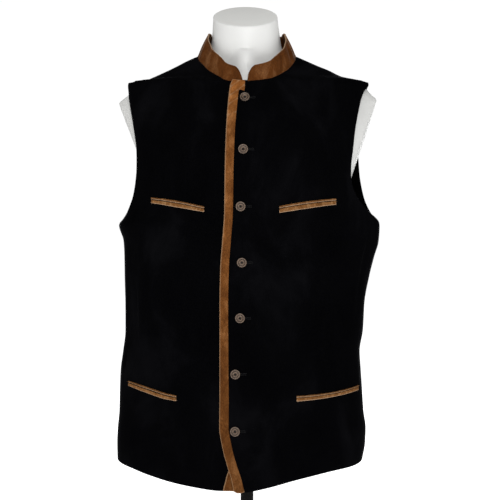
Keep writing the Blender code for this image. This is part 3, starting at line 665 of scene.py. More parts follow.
def rounded(distance, edge):
    """Share of the full thickness at this distance from a turned edge."""
    part = min(max(distance / edge, 0.0), 1.0)
    return math.sqrt(max(1 - (1 - part) ** 2, 0.0))


def shell(points, distances, thickness, edge, relief, edge_highlight):
    """A closed wall of cloth below the given points, its rim turned over; and its area."""
    bm = bmesh.new()
    trim = bm.verts.layers.float.new("edge")
    rows = len(points) - 1
    columns = len(points[0]) - 1

    def new_vert(place, wear_and_highlight):
        vert = bm.verts.new(place)
        vert[trim] = wear_and_highlight
        return vert

    def wall(i, j):
        """The outer and the inner vertex at one place; on the rim they are the same."""
        point = points[i][j]
        distance = distances[i][j]
        across = points[i][min(j + 1, columns)] - points[i][max(j - 1, 0)]
        upward = points[min(i + 1, rows)][j] - points[max(i - 1, 0)][j]
        normal = across.cross(upward).normalized()
        middle = point - normal * (thickness / 2)
        half = thickness / 2 * rounded(distance, edge)
        lift = relief(point, distance) if relief else 0.0
        # The distance that sets the painted edge highlight, which the given function may change.
        wear_and_highlight = distance
        if edge_highlight:
            wear_and_highlight = edge_highlight(point=point, across=j / columns, up=i / rows, distance=distance)
        outer = new_vert(middle + normal * (half + lift), wear_and_highlight)
        rim = i in (0, rows) or j in (0, columns)
        return outer, outer if rim else new_vert(middle - normal * half, wear_and_highlight)

    walls = [[wall(i, j) for j in range(columns + 1)] for i in range(rows + 1)]
    area = 0.0
    for i in range(rows):
        for j in range(columns):
            square = walls[i][j], walls[i][j + 1], walls[i + 1][j + 1], walls[i + 1][j]
            face = bm.faces.new([outer for outer, inner in square])
            under = bm.faces.new([inner for outer, inner in square[:1] + square[:0:-1]])
            area += (face.calc_area() + under.calc_area()) / 2
    return bm, area


def cloth_piece(name, node, surface, size, thickness, edge, look,
                relief=None, limit=None, edge_highlight=None):
    """A closed sheet of cloth over surface, with size = (rows, columns), in place of its CAD node.

    relief(point, distance) lifts it, limit(point) brings its edge nearer, and the third one gives
    the distance that sets its painted edge highlight.
    """
    points, distances = grid_of(surface, *size, edge)
    if limit:
        distances = [[min(distance, limit(point)) for point, distance in zip(*line)]
                     for line in zip(points, distances)]
    bm, area = shell(points, distances, thickness, edge, relief, edge_highlight)
    piece = keep(name, bm, look, [node])


def loft(rings, bm=None):
    """A closed solid through rings of points, with a flat fan on each end."""
    bm = bm or bmesh.new()
    loops = [[bm.verts.new(point) for point in ring] for ring in rings]
    count = len(rings[0])
    for lower, upper in zip(loops, loops[1:]):
        for i in range(count):
            j = (i + 1) % count
            bm.faces.new((lower[i], lower[j], upper[j], upper[i]))
    for loop in (loops[0], loops[-1]):
        middle = bm.verts.new(sum((vert.co for vert in loop), Vector()) / count)
        for i in range(count):
            bm.faces.new((loop[i], loop[(i + 1) % count], middle))
    return bm


def turned(profile, sides):
    rings = []
    for radius, height in profile:
        turns = [2 * math.pi * i / sides for i in range(sides)]
        rings.append([Vector((radius * math.cos(t), radius * math.sin(t), height)) for t in turns])
    return loft(rings)


# ---- materials ----------------------------------------------------------------------------------
class Shader:
    """A node material: short calls that make nodes and wire them to the one shader."""

    def __init__(self, name, **values):
        self.material = bpy.data.materials.new(name)
        self.material.use_nodes = True
        self.tree = self.material.node_tree
        self.main = self.tree.nodes["Principled BSDF"]
        self.place = self.add("TexCoord").outputs["Object"]
        for name, value in values.items():
            socket = self.main.inputs[name.replace("_", " ").title().replace("Ior", "IOR")]
            socket.default_value = value

    def add(self, kind, **inputs):
        """A new node; each input is a value or another node's output."""
        node = self.tree.nodes.new("ShaderNode" + kind)
        for name, value in inputs.items():
            socket = node.inputs[name.replace("_", " ").title()]
            if isinstance(value, bpy.types.NodeSocket):
                self.tree.links.new(value, socket)
            else:
                socket.default_value = value
        return node

    def noise(self, scale, detail=2.0, roughness=0.55, flow=1.0, distortion=0.0):
        """Noise over the object; with flow under 1 its marks are longer up and down."""
        place = self.add("Mapping", vector=self.place, scale=(1.0, 1.0, flow)).outputs["Vector"]
        return self.add("TexNoise", vector=place, scale=scale, detail=detail, roughness=roughness,
                        distortion=distortion).outputs["Fac"]

    def ramp(self, source, *stops):
        """Each stop is (place, colour) or (place, grey)."""
        node = self.add("ValToRGB", fac=source)
        marks = node.color_ramp.elements
        while len(marks) < len(stops):
            marks.new(0.5)
        for mark, (place, colour) in zip(marks, stops):
            mark.position = place
            mark.color = (*(colour if isinstance(colour, tuple) else (colour,) * 3), 1.0)
        return node.outputs["Color"]

    def blend(self, share, first, second, mode="MIX"):
        """first and second are colours or outputs; share is a number or an output."""
        node = self.add("Mix")
        node.data_type = "RGBA"
        node.blend_type = mode
        for value, number in ((share, 0), (first, 6), (second, 7)):
            socket = node.inputs[number]
            if isinstance(value, bpy.types.NodeSocket):
                self.tree.links.new(value, socket)
            else:
                socket.default_value = (*value, 1.0) if isinstance(value, tuple) else value
        return node.outputs[2]

    def multiply(self, first, second):
        return self.blend(1.0, first, second, "MULTIPLY")

    def attribute(self, name):
        node = self.add("Attribute")
        node.attribute_name = name
        return node.outputs["Fac"]

    def spread(self, source, low, high, to_low, to_high):
        return self.add("MapRange", value=source, from_min=low, from_max=high, to_min=to_low,
                        to_max=to_high).outputs["Result"]

    def finish(self, colour, grain, low, high, *bumps):
        """The colour, the roughness from low to high with the grain, and bumps one over the other.

        Each bump is (height output, strength, distance).
        """
        self.tree.links.new(colour, self.main.inputs["Base Color"])
        self.tree.links.new(self.spread(grain, 0.3, 0.7, low, high), self.main.inputs["Roughness"])
        last = None
        for source, strength, distance in bumps:
            under = {"normal": last} if last else {}
            last = self.add("Bump", height=source, strength=strength, distance=distance,
                            **under).outputs["Normal"]
        if last:
            self.tree.links.new(last, self.main.inputs["Normal"])
        return self.material


def black_velvet():
    shader = Shader("black_velvet", sheen_weight=0.055, sheen_roughness=0.17,
                    specular_ior_level=0.004, sheen_tint=(0.90, 0.91, 1.00, 1.0))
    crushed = shader.noise(11.0, detail=5.0, roughness=0.60, flow=0.6, distortion=0.4)
    nap = shader.noise(900.0, flow=0.35)
    colour = shader.ramp(crushed, (0.32, (0.0004, 0.0004, 0.0006)), (0.52, (0.0009, 0.0009, 0.0012)),
                         (0.72, (0.0030, 0.0030, 0.0036)))
    colour = shader.blend(shader.spread(nap, 0.3, 0.7, 0.0, 0.30), colour, (0.0030, 0.0030, 0.0036))
    return shader.finish(colour, crushed, 0.86, 0.98, (nap, 0.35, 0.0004), (crushed, 0.10, 0.0020))


def tan_velvet(name, dark, mid, light, highlight_colour, highlight_width, mottle, sheen, painted_light=1.0, painted_shade=0.70):
    """Velvet trim: mottled where the pile lies in different ways, with a painted highlight along its
    turned edges, painted shade towards the hem and painted light near the throat.
    """
    shader = Shader(name, sheen_weight=sheen, sheen_roughness=0.30, specular_ior_level=0.03,
                    sheen_tint=(1.0, 0.84, 0.66, 1.0))
    cloud = shader.noise(mottle, detail=4.0, roughness=0.62, flow=0.55, distortion=0.5)
    nap = shader.noise(820.0, flow=0.4)
    colour = shader.ramp(cloud, (0.30, dark), (0.52, mid), (0.74, light))
    colour = shader.multiply(colour, shader.ramp(nap, (0.32, 0.72), (0.68, 1.18)))
    # Painted shade towards the hem and painted light near the throat, for how light falls on the
    # trim.
    height = shader.add("SeparateXYZ", vector=shader.place).outputs["Z"]
    colour = shader.multiply(colour, shader.spread(height, *PAINTED_SHADE_HEIGHTS, painted_shade, 1.0))
    colour = shader.multiply(colour, shader.spread(height, *PAINTED_LIGHT_HEIGHTS, 1.0, painted_light))
    # Painted highlight: the paler colour along the turned edges and along the crease ridges.
    near = shader.spread(shader.attribute("edge"), 0.0005, highlight_width, 0.80, 0.0)
    colour = shader.blend(near, colour, highlight_colour)
    return shader.finish(colour, cloud, 0.74, 0.92, (nap, 0.40, 0.0004), (cloud, 0.20, 0.0012))


def horn():
    """Antique horn: paler on the rim and the ring; painted shade makes it dark in the step and
    nearly black in the pit.
    """
    shader = Shader("horn", metallic=0.10, specular_ior_level=0.32, coat_weight=0.05,
                    coat_roughness=0.30)
    scale = 1 / BUTTON_RADIUS
    flat = shader.add("Mapping", vector=shader.place, scale=(scale, scale, 0.0))
    radius = shader.add("VectorMath", vector=flat.outputs["Vector"])
    radius.operation = "LENGTH"
    # Painted shade: the colour is dark in the step and on the rim's outer fall, and nearly black in
    # the pit.
    rings = shader.ramp(
        radius.outputs["Value"], (0.17, (0.002, 0.0015, 0.001)), (0.27, (0.070, 0.044, 0.028)),
        (0.42, (0.135, 0.090, 0.060)), (0.58, (0.050, 0.031, 0.020)), (0.72, (0.070, 0.046, 0.031)),
        (0.86, (0.135, 0.092, 0.063)), (0.97, (0.050, 0.034, 0.024)))
    grain = shader.noise(300.0, detail=4.0, flow=0.4, distortion=1.2)
    wear_and_highlight = shader.noise(1400.0)
    colour = shader.multiply(rings, shader.ramp(grain, (0.30, 0.55), (0.70, 1.35)))
    return shader.finish(colour, wear_and_highlight, 0.30, 0.50, (wear_and_highlight, 0.15, 0.0003), (grain, 0.10, 0.0004))


def thread():
    shader = Shader("black_thread", specular_ior_level=0.10, sheen_weight=0.02)
    twist = shader.noise(1700.0, detail=1.0, flow=3.0)
    colour = shader.ramp(twist, (0.35, 0.001), (0.65, (0.004, 0.004, 0.005)))
    return shader.finish(colour, twist, 0.45, 0.6, (twist, 0.5, 0.0003))


def white_gloss(name, base, low, high):
    """The form's moulded shell: a faint unevenness in the gloss, as a sprayed coat has."""
    shader = Shader(name, specular_ior_level=0.30, coat_weight=0.06, coat_roughness=0.30)
    slow = shader.noise(9.0)
    peel = shader.noise(420.0)
    colour = shader.ramp(slow, (0.35, tuple(value * 0.955 for value in base)), (0.65, base))
    # Painted shade: greyer on the flat arm cuts and in part on the stumps.
    colour = shader.blend(shader.attribute("plate"), colour, PLATE_PAINTED_SHADE)
    return shader.finish(colour, peel, low, high, (peel, 0.05, 0.0003), (slow, 0.06, 0.003))


def dark_paint():
    shader = Shader("dark_paint", specular_ior_level=0.04)
    grain = shader.noise(700.0, detail=3.0)
    colour = shader.ramp(shader.noise(12.0), (0.3, (0.0035, 0.0033, 0.0030)),
                         (0.7, (0.0075, 0.0070, 0.0065)))
    return shader.finish(colour, grain, 0.36, 0.52, (grain, 0.20, 0.0003))


def floor_paper():
    shader = Shader("floor_paper", specular_ior_level=0.1, emission_color=(1.0, 1.0, 1.0, 1.0),
                    emission_strength=0.92)
    fibre = shader.noise(60.0)
    return shader.finish(shader.ramp(fibre, (0.3, 0.86), (0.7, 0.89)), fibre, 0.85, 0.95)


PLATE_PAINTED_SHADE = (0.53, 0.53, 0.515)      # painted shade on the flat arm cuts, and in part on the stumps
PAINTED_SHADE_HEIGHTS = (0.20, 0.62)            # painted shade: the trim is darker towards the hem ...
PAINTED_LIGHT_HEIGHTS = (0.780, 0.845)           # ... and painted light: it is paler near the throat

# Each look is a slot's name and its materials.
BLACK = "black_velvet", black_velvet()
# The fourth colour of each tan velvet is its painted edge highlight.
TRIM = "tan_velvet", tan_velvet(
    "tan_velvet", (0.078, 0.025, 0.0055), (0.140, 0.050, 0.0120), (0.265, 0.112, 0.0370),
    (0.290, 0.175, 0.0950), highlight_width=0.0022, mottle=52.0, sheen=0.06, painted_light=1.80, painted_shade=0.62)
COLLAR_TAN = "tan_velvet", tan_velvet(
    "collar_velvet", (0.050, 0.0145, 0.0028), (0.086, 0.0275, 0.0060), (0.165, 0.070, 0.0250),
    (0.300, 0.200, 0.1250), highlight_width=0.0019, mottle=40.0, sheen=0.16)
POCKET_TAN = "tan_velvet", tan_velvet(
    "pocket_velvet", (0.090, 0.034, 0.0080), (0.168, 0.073, 0.0230), (0.285, 0.160, 0.0720),
    (0.370, 0.250, 0.1600), highlight_width=0.0010, mottle=170.0, sheen=0.05, painted_shade=1.0)
HORN = "buttons", horn()
THREAD = "black_velvet", thread()
# The neck cap's material is a paler copy of the shell's gloss, set for how light falls on the cap:
# painted light.
FORM_WHITE = ("form_shell", white_gloss("white_gloss", (0.675, 0.675, 0.66), 0.42, 0.52),
              white_gloss("cap_painted_light", (0.70, 0.70, 0.675), 0.36, 0.46))
PAINT = "stand_paint", dark_paint()


# ---- the vest -----------------------------------------------------------------------------------
def edge_line(edge_x):
    """The free edge's lowest and highest point, as heights."""
    low = HEM.at("left", 0.0)
    high = NECKLINE.at("height", 0.0)
    return hem_height(angle_at(edge_x(low), low)), neck_height(angle_at(edge_x(high), high))


def left_edge(height):
    return LEFT_EDGE.at("x", height)


def left_binding_edge(height):
    return left_edge(height) + STRIP.at("width", height)


def right_edge(height):
    return RIGHT_EDGE.at("x", height)


def right_binding_edge(height):
    return right_edge(height) - RIGHT_EDGE.at("width", height)


def front_surface(side, edge_x, lift_of=None):
    """A front panel from its free edge to its side, or back on the right; side is 1 on the left."""
    low, high = edge_line(edge_x)
    low_angle = angle_at(edge_x(low), low)
    high_angle = angle_at(edge_x(high), high)

    def surface(across, up):
        share = across if side > 0 else 1 - across
        edge_height = mix(low, high, up)
        start = angle_at(edge_x(edge_height), edge_height)
        end = side * (90.0 - side_angle(mix(HEM_SIDE, NECK_POINT, up), "front", side_of(side)))
        bottom = hem_height(mix(low_angle, side * 90.0, share))
        top = neck_height(mix(high_angle, side * 90.0, share))
        angle = mix(start, end, share)
        height = mix(bottom, top, up)
        if lift_of:
            return on_vest(angle, height, lift_of(angle, height))
        return vest_point(angle, height)
    return surface


def back_surface(across, up):
    start = 90.0 + side_angle(mix(HEM_SIDE, NECK_POINT, up), "back", "back")
    middle = 90.0 + 180.0 * across
    height = mix(hem_height(middle), neck_height(middle), up)
    return vest_point(mix(start, 360.0 - start, across), height)


def make_panels():
    rows, columns = (150, 84) if FINE else (70, 40)
    left = front_surface(1, lambda height: left_binding_edge(height) - SEAM_OVERLAP)
    right = front_surface(-1, lambda height: right_binding_edge(height) + SEAM_OVERLAP, lap_lift)
    for name, node, surface, across, flat_width in (
            ("left_front_velvet", "front_left", left, columns, 0.320),
            ("right_front_velvet", "front_right", right, columns, 0.300),
            ("back_velvet", "back", back_surface, 2 * columns, 0.560)):
        cloth_piece(name, node, surface, (rows, across), CLOTH, PANEL_EDGE, BLACK)


def right_strip_surface(across, up):
    """The right binding: a strip along the right front's free edge."""
    def place(height):
        return mix(right_binding_edge(height), right_edge(height), across)
    low, high = edge_line(place)
    height = mix(low, high, up)
    angle = angle_at(place(height), height)
    return on_vest(angle, height, lap_lift(angle, height))


def bead(distance, out, place, spread):
    """The plump roll along a turned edge."""
    return out * bell((distance - place) / spread)


def binding_relief(point, distance):
    """A plump rolled edge, then shallow slanting puckers across the strip, deeper near the top."""
    upper = ease((point.z - PUCKER_HEIGHTS[0]) / (PUCKER_HEIGHTS[1] - PUCKER_HEIGHTS[0]))
    slant = (point.z - 0.55 * point.x) * 1000.0
    ripple = uneven(slant / 11.0, point.x * 60.0, 3.1)
    fine = uneven(slant / 4.6, point.x * 110.0, 7.7)
    inside = ease((distance - 0.0012) / 0.0030)
    pucker = mix(*PUCKER_OUT, upper) * ripple + FINE_PUCKER_OUT * fine
    return bead(distance, *BINDING_BEAD) + inside * pucker


def flap_relief(point, distance):
    """The corner flap's diagonal creases."""
    total = binding_relief(point, distance)
    for offset, width, out in FLAP_CREASES:
        away = (point.z - FLAP_Z - 0.42 * (point.x - FLAP_X) - offset) / width
        total += out * bell(away) * ease((distance - 0.0008) / 0.0030)
    return total


def left_strip_surface(across, up):
    """The left binding: a strip whose top rows run out to the right into the corner flap."""
    if up <= FLAP_SHARE:
        below = up / FLAP_SHARE
        height = mix(BINDING_END.at("height", across), FLAP_NOTCH[1], below)
        x = mix(left_edge(height), left_binding_edge(height), across)
        return on_front(x, height, BINDING_PROUD)
    above = (up - FLAP_SHARE) / (1 - FLAP_SHARE)
    left_height = mix(FLAP_NOTCH[1], FLAP_TOP_LEFT, above)
    left_x = left_edge(left_height)
    x_share = 1.0
    if above < FLAP_TIP_SHARE:
        part = above / FLAP_TIP_SHARE
        right_x = mix(FLAP_NOTCH[0], FLAP_TIP[0], part)
        right_height = mix(FLAP_NOTCH[1], FLAP_TIP[1], part) + FLAP_BOW * swell(part)
        if across < 0.2:
            x_share = ease(part)
    else:
        part = (above - FLAP_TIP_SHARE) / (1 - FLAP_TIP_SHARE)
        right_x = mix(FLAP_TIP[0], FLAP_TOP[0], part)
        right_height = mix(FLAP_TIP[1], FLAP_TOP[1], part)
    notch_x = mix(left_x, left_binding_edge(left_height), across)
    x = mix(notch_x, mix(left_x, right_x, across), x_share)
    height = mix(left_height, right_height, across)
    proud = ease((x - left_edge(height)) / 0.02 - 0.4) * ease(above * 2.0)
    return on_front(x, height, BINDING_PROUD + FLAP_PROUD * proud)


def flap_limit(point):
    """Distance to the flap's lower edge, for points beyond the notch."""
    if point.x < FLAP_NOTCH[0] or not FLAP_TIP[1] - 0.001 <= point.z <= FLAP_NOTCH[1] + 0.004:
        return 1.0
    run = Vector(FLAP_TIP) - Vector(FLAP_NOTCH)
    away = Vector((point.x, point.z)) - Vector(FLAP_NOTCH)
    return abs(run.x * away.y - run.y * away.x) / run.length


def binding_highlight(point, across, up, distance):
    """Painted highlight on a binding's left edge only, and on the slanting creases near the left
    one's top.
    """
    distance += BINDING_HIGHLIGHT_OFF * ease((across - 0.45) / 0.25) * ease(up / 0.02)
    for height, rise, spread, pale in BINDING_CREASE_HIGHLIGHTS:
        line = height + rise * (point.x - CREASE_HIGHLIGHTS_FROM)
        distance = mix(distance, CREASE_HIGHLIGHT_DISTANCE, pale * bell((point.z - line) / spread))
    return distance


# Painted highlight on the collar's upper edges, left off towards its lower edge.
def collar_highlight(up, distance, **others):
    return distance + COLLAR_HIGHLIGHT_OFF * ease((0.62 - up) / 0.2)


# Painted highlight along the lower edge only, on the jets and the right binding.
def jet_highlight(up, distance, **others):
    return distance + JET_HIGHLIGHT_OFF * ease((up - 0.40) / 0.2)


def make_bindings():
    rows, columns = (400, 20) if FINE else (180, 10)
    cloth_piece("left_binding", "binding_left", left_strip_surface, (rows, columns),
                CLOTH + BINDING_PROUD, BINDING_EDGE, TRIM,
                relief=flap_relief, limit=flap_limit, edge_highlight=binding_highlight)
    cloth_piece("right_binding", "binding_right", right_strip_surface, (rows // 2, columns),
                CLOTH, UNDER_BINDING_EDGE, TRIM,
                relief=binding_relief, edge_highlight=jet_highlight)


def collar_seat(angle):
    """A point just under the neckline, sunk behind the lap with the right front."""
    angle = wrap(angle)
    height = neck_height(angle)
    lift = lap_lift(angle, height) if -90.0 < angle < 0.0 else 0.0
    point = on_vest(angle, height, lift)
    upward = (on_vest(angle, height + 0.0006, lift) - point).normalized()
    return point + upward * COLLAR_LIFT


def collar_base(angle):
    """The collar's lower edge, evened out along the neckline except near its two ends."""
    spread = COLLAR_EVEN * ease((abs(angle) - 6.0) / 6.0)
    return sum((collar_seat(angle + spread * step) for step in (-2, -1, 0, 1, 2)), Vector()) / 5


def collar_point(angle, share):
    angle = wrap(angle)
    base = collar_base(angle)
    along = 1.0
    if abs(angle) < 30:
        along = min(abs(base.x - COLLAR_END_X[angle >= 0]) / COLLAR_END_ROUND, 1.0)
    full = (1 - (1 - along) ** 2) ** COLLAR_END_POWER
    rise = max(COLLAR.at("rise", abs(angle)) * full, COLLAR_END_RISE) * share
    lean = COLLAR.at("lean", abs(angle)) * full * share
    out = Vector((base.x - NECK_X, base.y + COLLAR_BODY, 0.0)).normalized()
    bulge = COLLAR_BULGE * swell(share) * full
    crease = sum(deep * bell(wrap(angle - place) / spread) for place, spread, deep in COLLAR_CREASES)
    crease *= swell(min(share * 1.15, 1.0))
    return base + Vector((0, 0, rise)) - out * (lean - bulge - crease)


def collar_surface(across, up):
    height = NECKLINE.at("height", 0.0)
    first, last = (abs(angle_at(x, height)) for x in COLLAR_END_X)
    return collar_point(mix(last, 360.0 - first, across), up)


def collar_relief(point, distance):
    streak = uneven(math.atan2(point.x, -point.y) * 9.0, point.z * 14.0, 1.3)
    return bead(distance, *COLLAR_BEAD) + COLLAR_STREAK * streak * ease((distance - 0.0015) / 0.004)


def make_collar():
    cloth_piece("stand_collar", "collar", collar_surface, (26, 300) if FINE else (14, 150),
                COLLAR_CLOTH, COLLAR_EDGE, COLLAR_TAN,
                relief=collar_relief, edge_highlight=collar_highlight)


def bent(line, share):
    """A pocket line's height: (outer height, inner height, wave, arch) at a share of its length."""
    outer, inner, wave, arch = line
    turn = math.pi * share
    return mix(outer, inner, share) + wave * math.sin(2 * turn) + arch * math.sin(turn)


def jet_relief(point, distance):
    slow = uneven(point.x * 140.0, point.z * 240.0, 2.0)
    return (0.00016 * slow + 0.00012 * noise.noise(point * 420.0)) * ease(distance / 0.0010)


def make_jet(name, node, low, high, ends, plump):
    """A rolled bar of velvet between two lines; ends are its outer and inner x."""
    def surface(across, up):
        share = across if ends[0] < ends[1] else 1 - across
        waver = JET_WAVER * uneven(share * 7.0, up * 0.9, low[0] * 50.0)
        height = mix(bent(low, share), bent(high, share), up) + waver
        return on_front(mix(*ends, share), height, JET_LIFT + JET_CLOTH)

    edge = abs(bent(high, 0.5) - bent(low, 0.5)) * plump
    cloth_piece(name, node, surface, (10, 120 if FINE else 50), JET_CLOTH, edge, POCKET_TAN,
                relief=jet_relief, edge_highlight=jet_highlight)


def make_pockets():
    for name, outer_x, inner_x, outer_top, inner_top, outer_low, inner_low, *shape in POCKETS:
        wave, arch_top, arch_low, slit = shape

        def line(share):
            return (mix(outer_top, outer_low, share), mix(inner_top, inner_low, share), wave,
                    mix(arch_top, arch_low, share))
        make_jet(name + "_upper", name + "_jet", line(UPPER_JET_SHARE), line(0.0),
                 (outer_x, inner_x), JET_EDGES[0])
        make_jet(name + "_lower", name + "_welt", line(1.0), line(UPPER_JET_SHARE + slit * 0.8),
                 (outer_x, inner_x), JET_EDGES[1])


# ---- buttons and buttonholes --------------------------------------------------------------------
def round_profile():
    """The button's outline: share of the radius, height; a rounded rim, a step, a ring and a pit."""
    points = [(0.78, 0.0), (0.94, 0.0003)]
    for i in range(7):
        turn = math.radians(-50.0 + 140.0 * i / 6)
        points.append((0.90 + 0.10 * math.cos(turn), 0.0019 + 0.0012 * math.sin(turn)))
    points += [(0.84, 0.00305), (0.77, 0.0027), (0.70, 0.0021), (0.655, 0.00185), (0.62, 0.0019)]
    for i in range(6):
        turn = math.radians(170.0 - 150.0 * i / 5)
        points.append((0.47 - 0.13 * math.cos(math.pi - turn), 0.0019 + 0.0010 * math.sin(turn)))
    points += [(0.32, 0.0022), (0.27, 0.00195), (0.215, 0.0018), (0.18, 0.0012), (0.165, 0.0006)]
    return [(share * BUTTON_RADIUS, rise) for share, rise in points]


def make_buttons():
    for number, (x, height) in enumerate(BUTTONS, start=1):
        name = "button_%d" % number
        body = turned(round_profile(), BUTTON_SIDES if FINE else BUTTON_SIDES // 2)
        button = keep("horn_" + name, body, HORN, [name])
        button.location = on_front(x, height, BUTTON_LIFT) + Vector((CENTRE_X, 0, 0))
        button.rotation_mode = "QUATERNION"
        button.rotation_quaternion = vest_normal(angle_at(x, height), height).to_track_quat("Z", "Y")
        make_buttonhole("buttonhole_%d" % number, x + BUTTONHOLE_START, height)


def make_buttonhole(name, x, height):
    """Close stitches round a short slit that runs out from under the button."""
    bm = bmesh.new()
    for side in (-1, 1):
        row = height + side * STITCH_AWAY
        for i in range(STITCHES):
            along = x + BUTTONHOLE_LENGTH * (i + 0.5) / STITCHES
            angle = angle_at(along, height)
            middle = on_vest(angle, row, STITCH_LIFT)
            right = on_vest(angle_at(along + STITCH_STEP, height), row, STITCH_LIFT) - middle
            up = on_vest(angle, row + STITCH_STEP, STITCH_LIFT) - middle
            right.normalize()
            up.normalize()
            out = right.cross(up)
            turns = [k * math.pi / 3 for k in range(6)]
            rings = []
            for share, fat in ((-1.0, 0.35), (-0.6, 0.9), (0.0, 1.0), (0.6, 0.9), (1.0, 0.35)):
                centre = middle + up * share * STITCH_HALF + out * 0.0001
                radius = STITCH_RADIUS * fat
                rings.append([centre + (right * math.cos(turn) + out * math.sin(turn)) * radius
                              for turn in turns])
            loft(rings, bm)
    keep(name, bm, THREAD, [])


# ---- the form and its stand ---------------------------------------------------------------------
def form_table():
    """Torso rows, shoulder rows that lie just under the cloth, and neck rows, in one table."""
    sides = ("left", "right", "front", "back")
    shoulder = [
        (height, *(min(VEST.at(side, height + FORM_EASE), VEST.at(side, height) - FORM_SKIN[side])
                   for side in sides))
        for height in FORM_SHOULDER_HEIGHTS]
    return Profile(("height", *sides), FORM_TORSO + shoulder + FORM_NECK)


def soft_least(one, other, soft):
    """The smaller value, with the change from one to the other rounded."""
    share = min(max(0.5 + (other - one) / (2 * soft), 0.0), 1.0)
    return mix(other, one, share) - soft * share * (1 - share)


def stump_reach(angle, height):
    """How far the arm stump swells out, inside the armhole's opening."""
    side = side_of(wrap(angle))
    first = 90.0 - ARMHOLE.at(side, height) + STUMP_MARGIN
    last = 90.0 + ARMHOLE.at("back", height) - STUMP_MARGIN
    part = (abs(wrap(angle)) - first) / (last - first)
    if not (0 < part < 1 and STUMP.at(side, height) > 0):
        return 0.0
    return STUMP.at(side, height) * swell(part) ** STUMP_ROUND


def arm_cut(point):
    """How far out the flat arm cut lies, at a point's height and depth."""
    side = side_of(point.x)
    flare = ARM_CUT_FLARE[0] * (1 - ease((point.z - STUMP.keys[0]) / ARM_CUT_FLARE[1]))
    lean = ARM_CUT_SLOPE[side] * (ARM_CUT_Z - point.z)
    return ARM_CUT_X[side] - lean + ARM_CUT_TURN * point.y + flare


def form_point(table, angle, height):
    oval = ease((height - NECK_BLEND[0]) / (NECK_BLEND[1] - NECK_BLEND[0]))
    point = section_point(table, angle, height, oval)
    point.y -= THROAT.at("out", height) * bell(wrap(angle) / THROAT_SPREAD)
    if point.y < 0:
        low, tall, out, spread = THROAT_FILL
        fill = swell(min(max((height - low) / tall, 0.0), 1.0)) ** 0.7
        point.y -= out * fill * bell((point.x - NECK_X) / spread)
    point.x += math.copysign(stump_reach(angle, height), point.x)
    if STUMP.keys[0] < height < SHOULDER_TIP:
        point.x = math.copysign(soft_least(abs(point.x), arm_cut(point), ARM_CUT_SOFT), point.x)
    point.x += NECK_X * oval
    return point


def turned_edge(ring, middle, size, turns, rise_of):
    """Rings that round an end's edge off: each draws in towards the middle and rises."""
    return [[point + (middle - point).normalized() * size * (1 - math.cos(turn))
             + Vector((0, 0, rise_of(turn))) for point in ring] for turn in map(math.radians, turns)]


def make_form():
    table = form_table()
    angles = [360.0 * i / FORM_SIDES for i in range(FORM_SIDES)]
    foot = [form_point(table, angle, FORM_UNDERSIDE) for angle in angles]
    rings = turned_edge(foot, Vector((0, 0, FORM_UNDERSIDE)), FORM_EDGE, range(90, 0, -15),
                        lambda turn: FORM_EDGE * (1 - math.sin(turn)))
    height = FORM_UNDERSIDE + FORM_EDGE
    while height < FORM_NECK_START:
        rings.append([form_point(table, angle, height) for angle in angles])
        height += 0.010 if height < STUMP.keys[0] else 0.0030
    starts = [form_point(table, angle, FORM_NECK_START) for angle in angles]
    caps = [CAP_HEIGHT + CAP_SLOPE * start.y - CAP_EDGE for start in starts]
    for number in range(NECK_RINGS + 1):
        rings.append([form_point(table, angle, mix(FORM_NECK_START, cap, number / NECK_RINGS))
                      for angle, cap in zip(angles, caps)])
    sides = len(rings)
    centre = sum(rings[-1], Vector()) / FORM_SIDES
    rings += turned_edge(rings[-1], centre, CAP_EDGE, range(18, 91, 18),
                         lambda turn: CAP_EDGE * math.sin(turn))
    bm = loft(rings)
    bm.faces.ensure_lookup_table()
    # The cap's top takes the paler copy set for the light on the cap: painted light.
    for face in bm.faces[(sides + 3) * FORM_SIDES:]:
        if face.calc_center_median().z > FORM_NECK_START:
            face.material_index = 1
    # Painted shade on the flat arm cuts, fading out at their rims, and in part on the stumps.
    plate = bm.verts.layers.float.new("plate")
    for vert in bm.verts:
        if STUMP.keys[0] < vert.co.z < SHOULDER_TIP:
            flat = 1 - ease(abs(abs(vert.co.x) - arm_cut(vert.co)) / PLATE_FADE)
            vert[plate] = max(flat, STUMP_PAINTED_SHADE * ease((abs(vert.co.x) - 0.160) / 0.022))
    form = keep("form_shell", bm, FORM_WHITE, ["form"])
    form.data.set_sharp_from_angle(angle=math.radians(32))


def rounded_corner(radius, height, size, up=1):
    """Points of a rounded outer corner of a turned profile; up is -1 at a lower corner."""
    turns = [math.radians(15 * i) for i in range(7)]
    points = [(radius - size * (1 - math.cos(turn)), height - up * size * (1 - math.sin(turn)))
              for turn in turns]
    return points[::up]


def make_stand():
    base = rounded_corner(BASE_RADIUS, 0.0, 0.0015, -1)
    base += rounded_corner(BASE_RADIUS, BASE_HEIGHT, 0.0040)
    base += [(BOSS_RADIUS + out, BASE_HEIGHT + rise) for out, rise in (
        (0.030, 0.0004), (0.008, 0.0018), (0.003, 0.0042), (0.0, 0.0085))]
    base += rounded_corner(BOSS_RADIUS, BOSS_HEIGHT, 0.0020)
    keep("base_plate", turned(base, 128), PAINT, ["stand_base"])
    pole = [(POLE_RADIUS - 0.0004, BOSS_HEIGHT + 0.0003), (POLE_RADIUS, BOSS_HEIGHT + 0.0008),
            (POLE_RADIUS, FORM_UNDERSIDE - 0.0008), (POLE_RADIUS - 0.0004, FORM_UNDERSIDE - 0.0003)]
    keep("pole", turned(pole, 64), PAINT, ["stand_pole"])


# ---- stage, lights, camera ----------------------------------------------------------------------
def make_stage():
    bm = bmesh.new()
    bmesh.ops.create_grid(bm, x_segments=1, y_segments=1, size=12.0)
    mesh = bpy.data.meshes.new("floor")
    bm.to_mesh(mesh)
    bm.free()
    mesh.materials.append(floor_paper())
    floor = bpy.data.objects.new("floor", mesh)
    floor.location.z = -0.0005
    bpy.context.scene.collection.objects.link(floor)


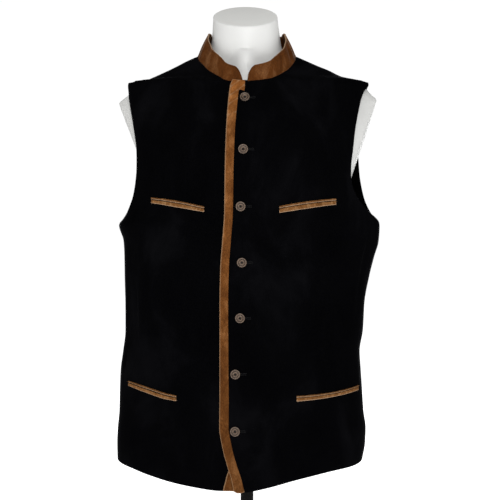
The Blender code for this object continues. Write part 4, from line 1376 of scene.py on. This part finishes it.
def make_world():
    """Even light all round, and a white backdrop that is brighter than the light it gives."""
    world = bpy.data.worlds.new("studio")
    world.use_nodes = True
    nodes = world.node_tree.nodes
    links = world.node_tree.links
    background = nodes["Background"]
    background.inputs["Color"].default_value = (1.0, 1.0, 1.0, 1.0)
    path = nodes.new("ShaderNodeLightPath")
    level = nodes.new("ShaderNodeMapRange")
    level.inputs["To Min"].default_value = WORLD_LIGHT
    level.inputs["To Max"].default_value = BACKDROP_LIGHT
    links.new(path.outputs["Is Camera Ray"], level.inputs["Value"])
    links.new(level.outputs["Result"], background.inputs["Strength"])
    bpy.context.scene.world = world


def make_light(name, location, size, power):
    data = bpy.data.lights.new(name, "AREA")
    data.shape = "RECTANGLE"
    data.size, data.size_y = size
    data.energy = power
    light = bpy.data.objects.new(name, data)
    light.location = location
    light.rotation_mode = "QUATERNION"
    light.rotation_quaternion = (LIGHT_TARGET - light.location).to_track_quat("-Z", "Y")
    bpy.context.scene.collection.objects.link(light)


def make_camera():
    data = bpy.data.cameras.new("camera")
    data.lens = CAMERA_LENS
    data.sensor_width = 36.0
    data.shift_x = CAMERA_SHIFT
    camera = bpy.data.objects.new("camera", data)
    camera.location = (CENTRE_X, -CAMERA_DISTANCE, CAMERA_HEIGHT)
    camera.rotation_euler = (math.radians(90.0), 0.0, 0.0)
    bpy.context.scene.collection.objects.link(camera)
    bpy.context.scene.camera = camera


WORLD_LIGHT = 0.31
BACKDROP_LIGHT = 1.02
LIGHT_TARGET = Vector((0.0, 0.0, 0.60))
LIGHTS = [
    # name, place, size, power
    ("key", (0.15, -2.60, 1.45), (1.0, 1.5), 34.5),
    ("left_fill", (-2.10, -1.10, 1.10), (1.0, 1.6), 5.0),
    ("right_fill", (2.10, -1.00, 1.10), (1.0, 1.6), 5.0),
    ("top", (0.0, 0.2, 2.4), (1.4, 1.4), 6.0),
    ("back", (0.3, 2.60, 1.40), (1.4, 1.4), 26.0),
]

make_panels()
make_bindings()
make_collar()
make_pockets()
make_buttons()
make_form()
make_stand()
make_stage()
make_world()
for light in LIGHTS:
    make_light(*light)
make_camera()
bpy.context.scene.view_settings.view_transform = "Standard"

bpy.context.view_layer.update()
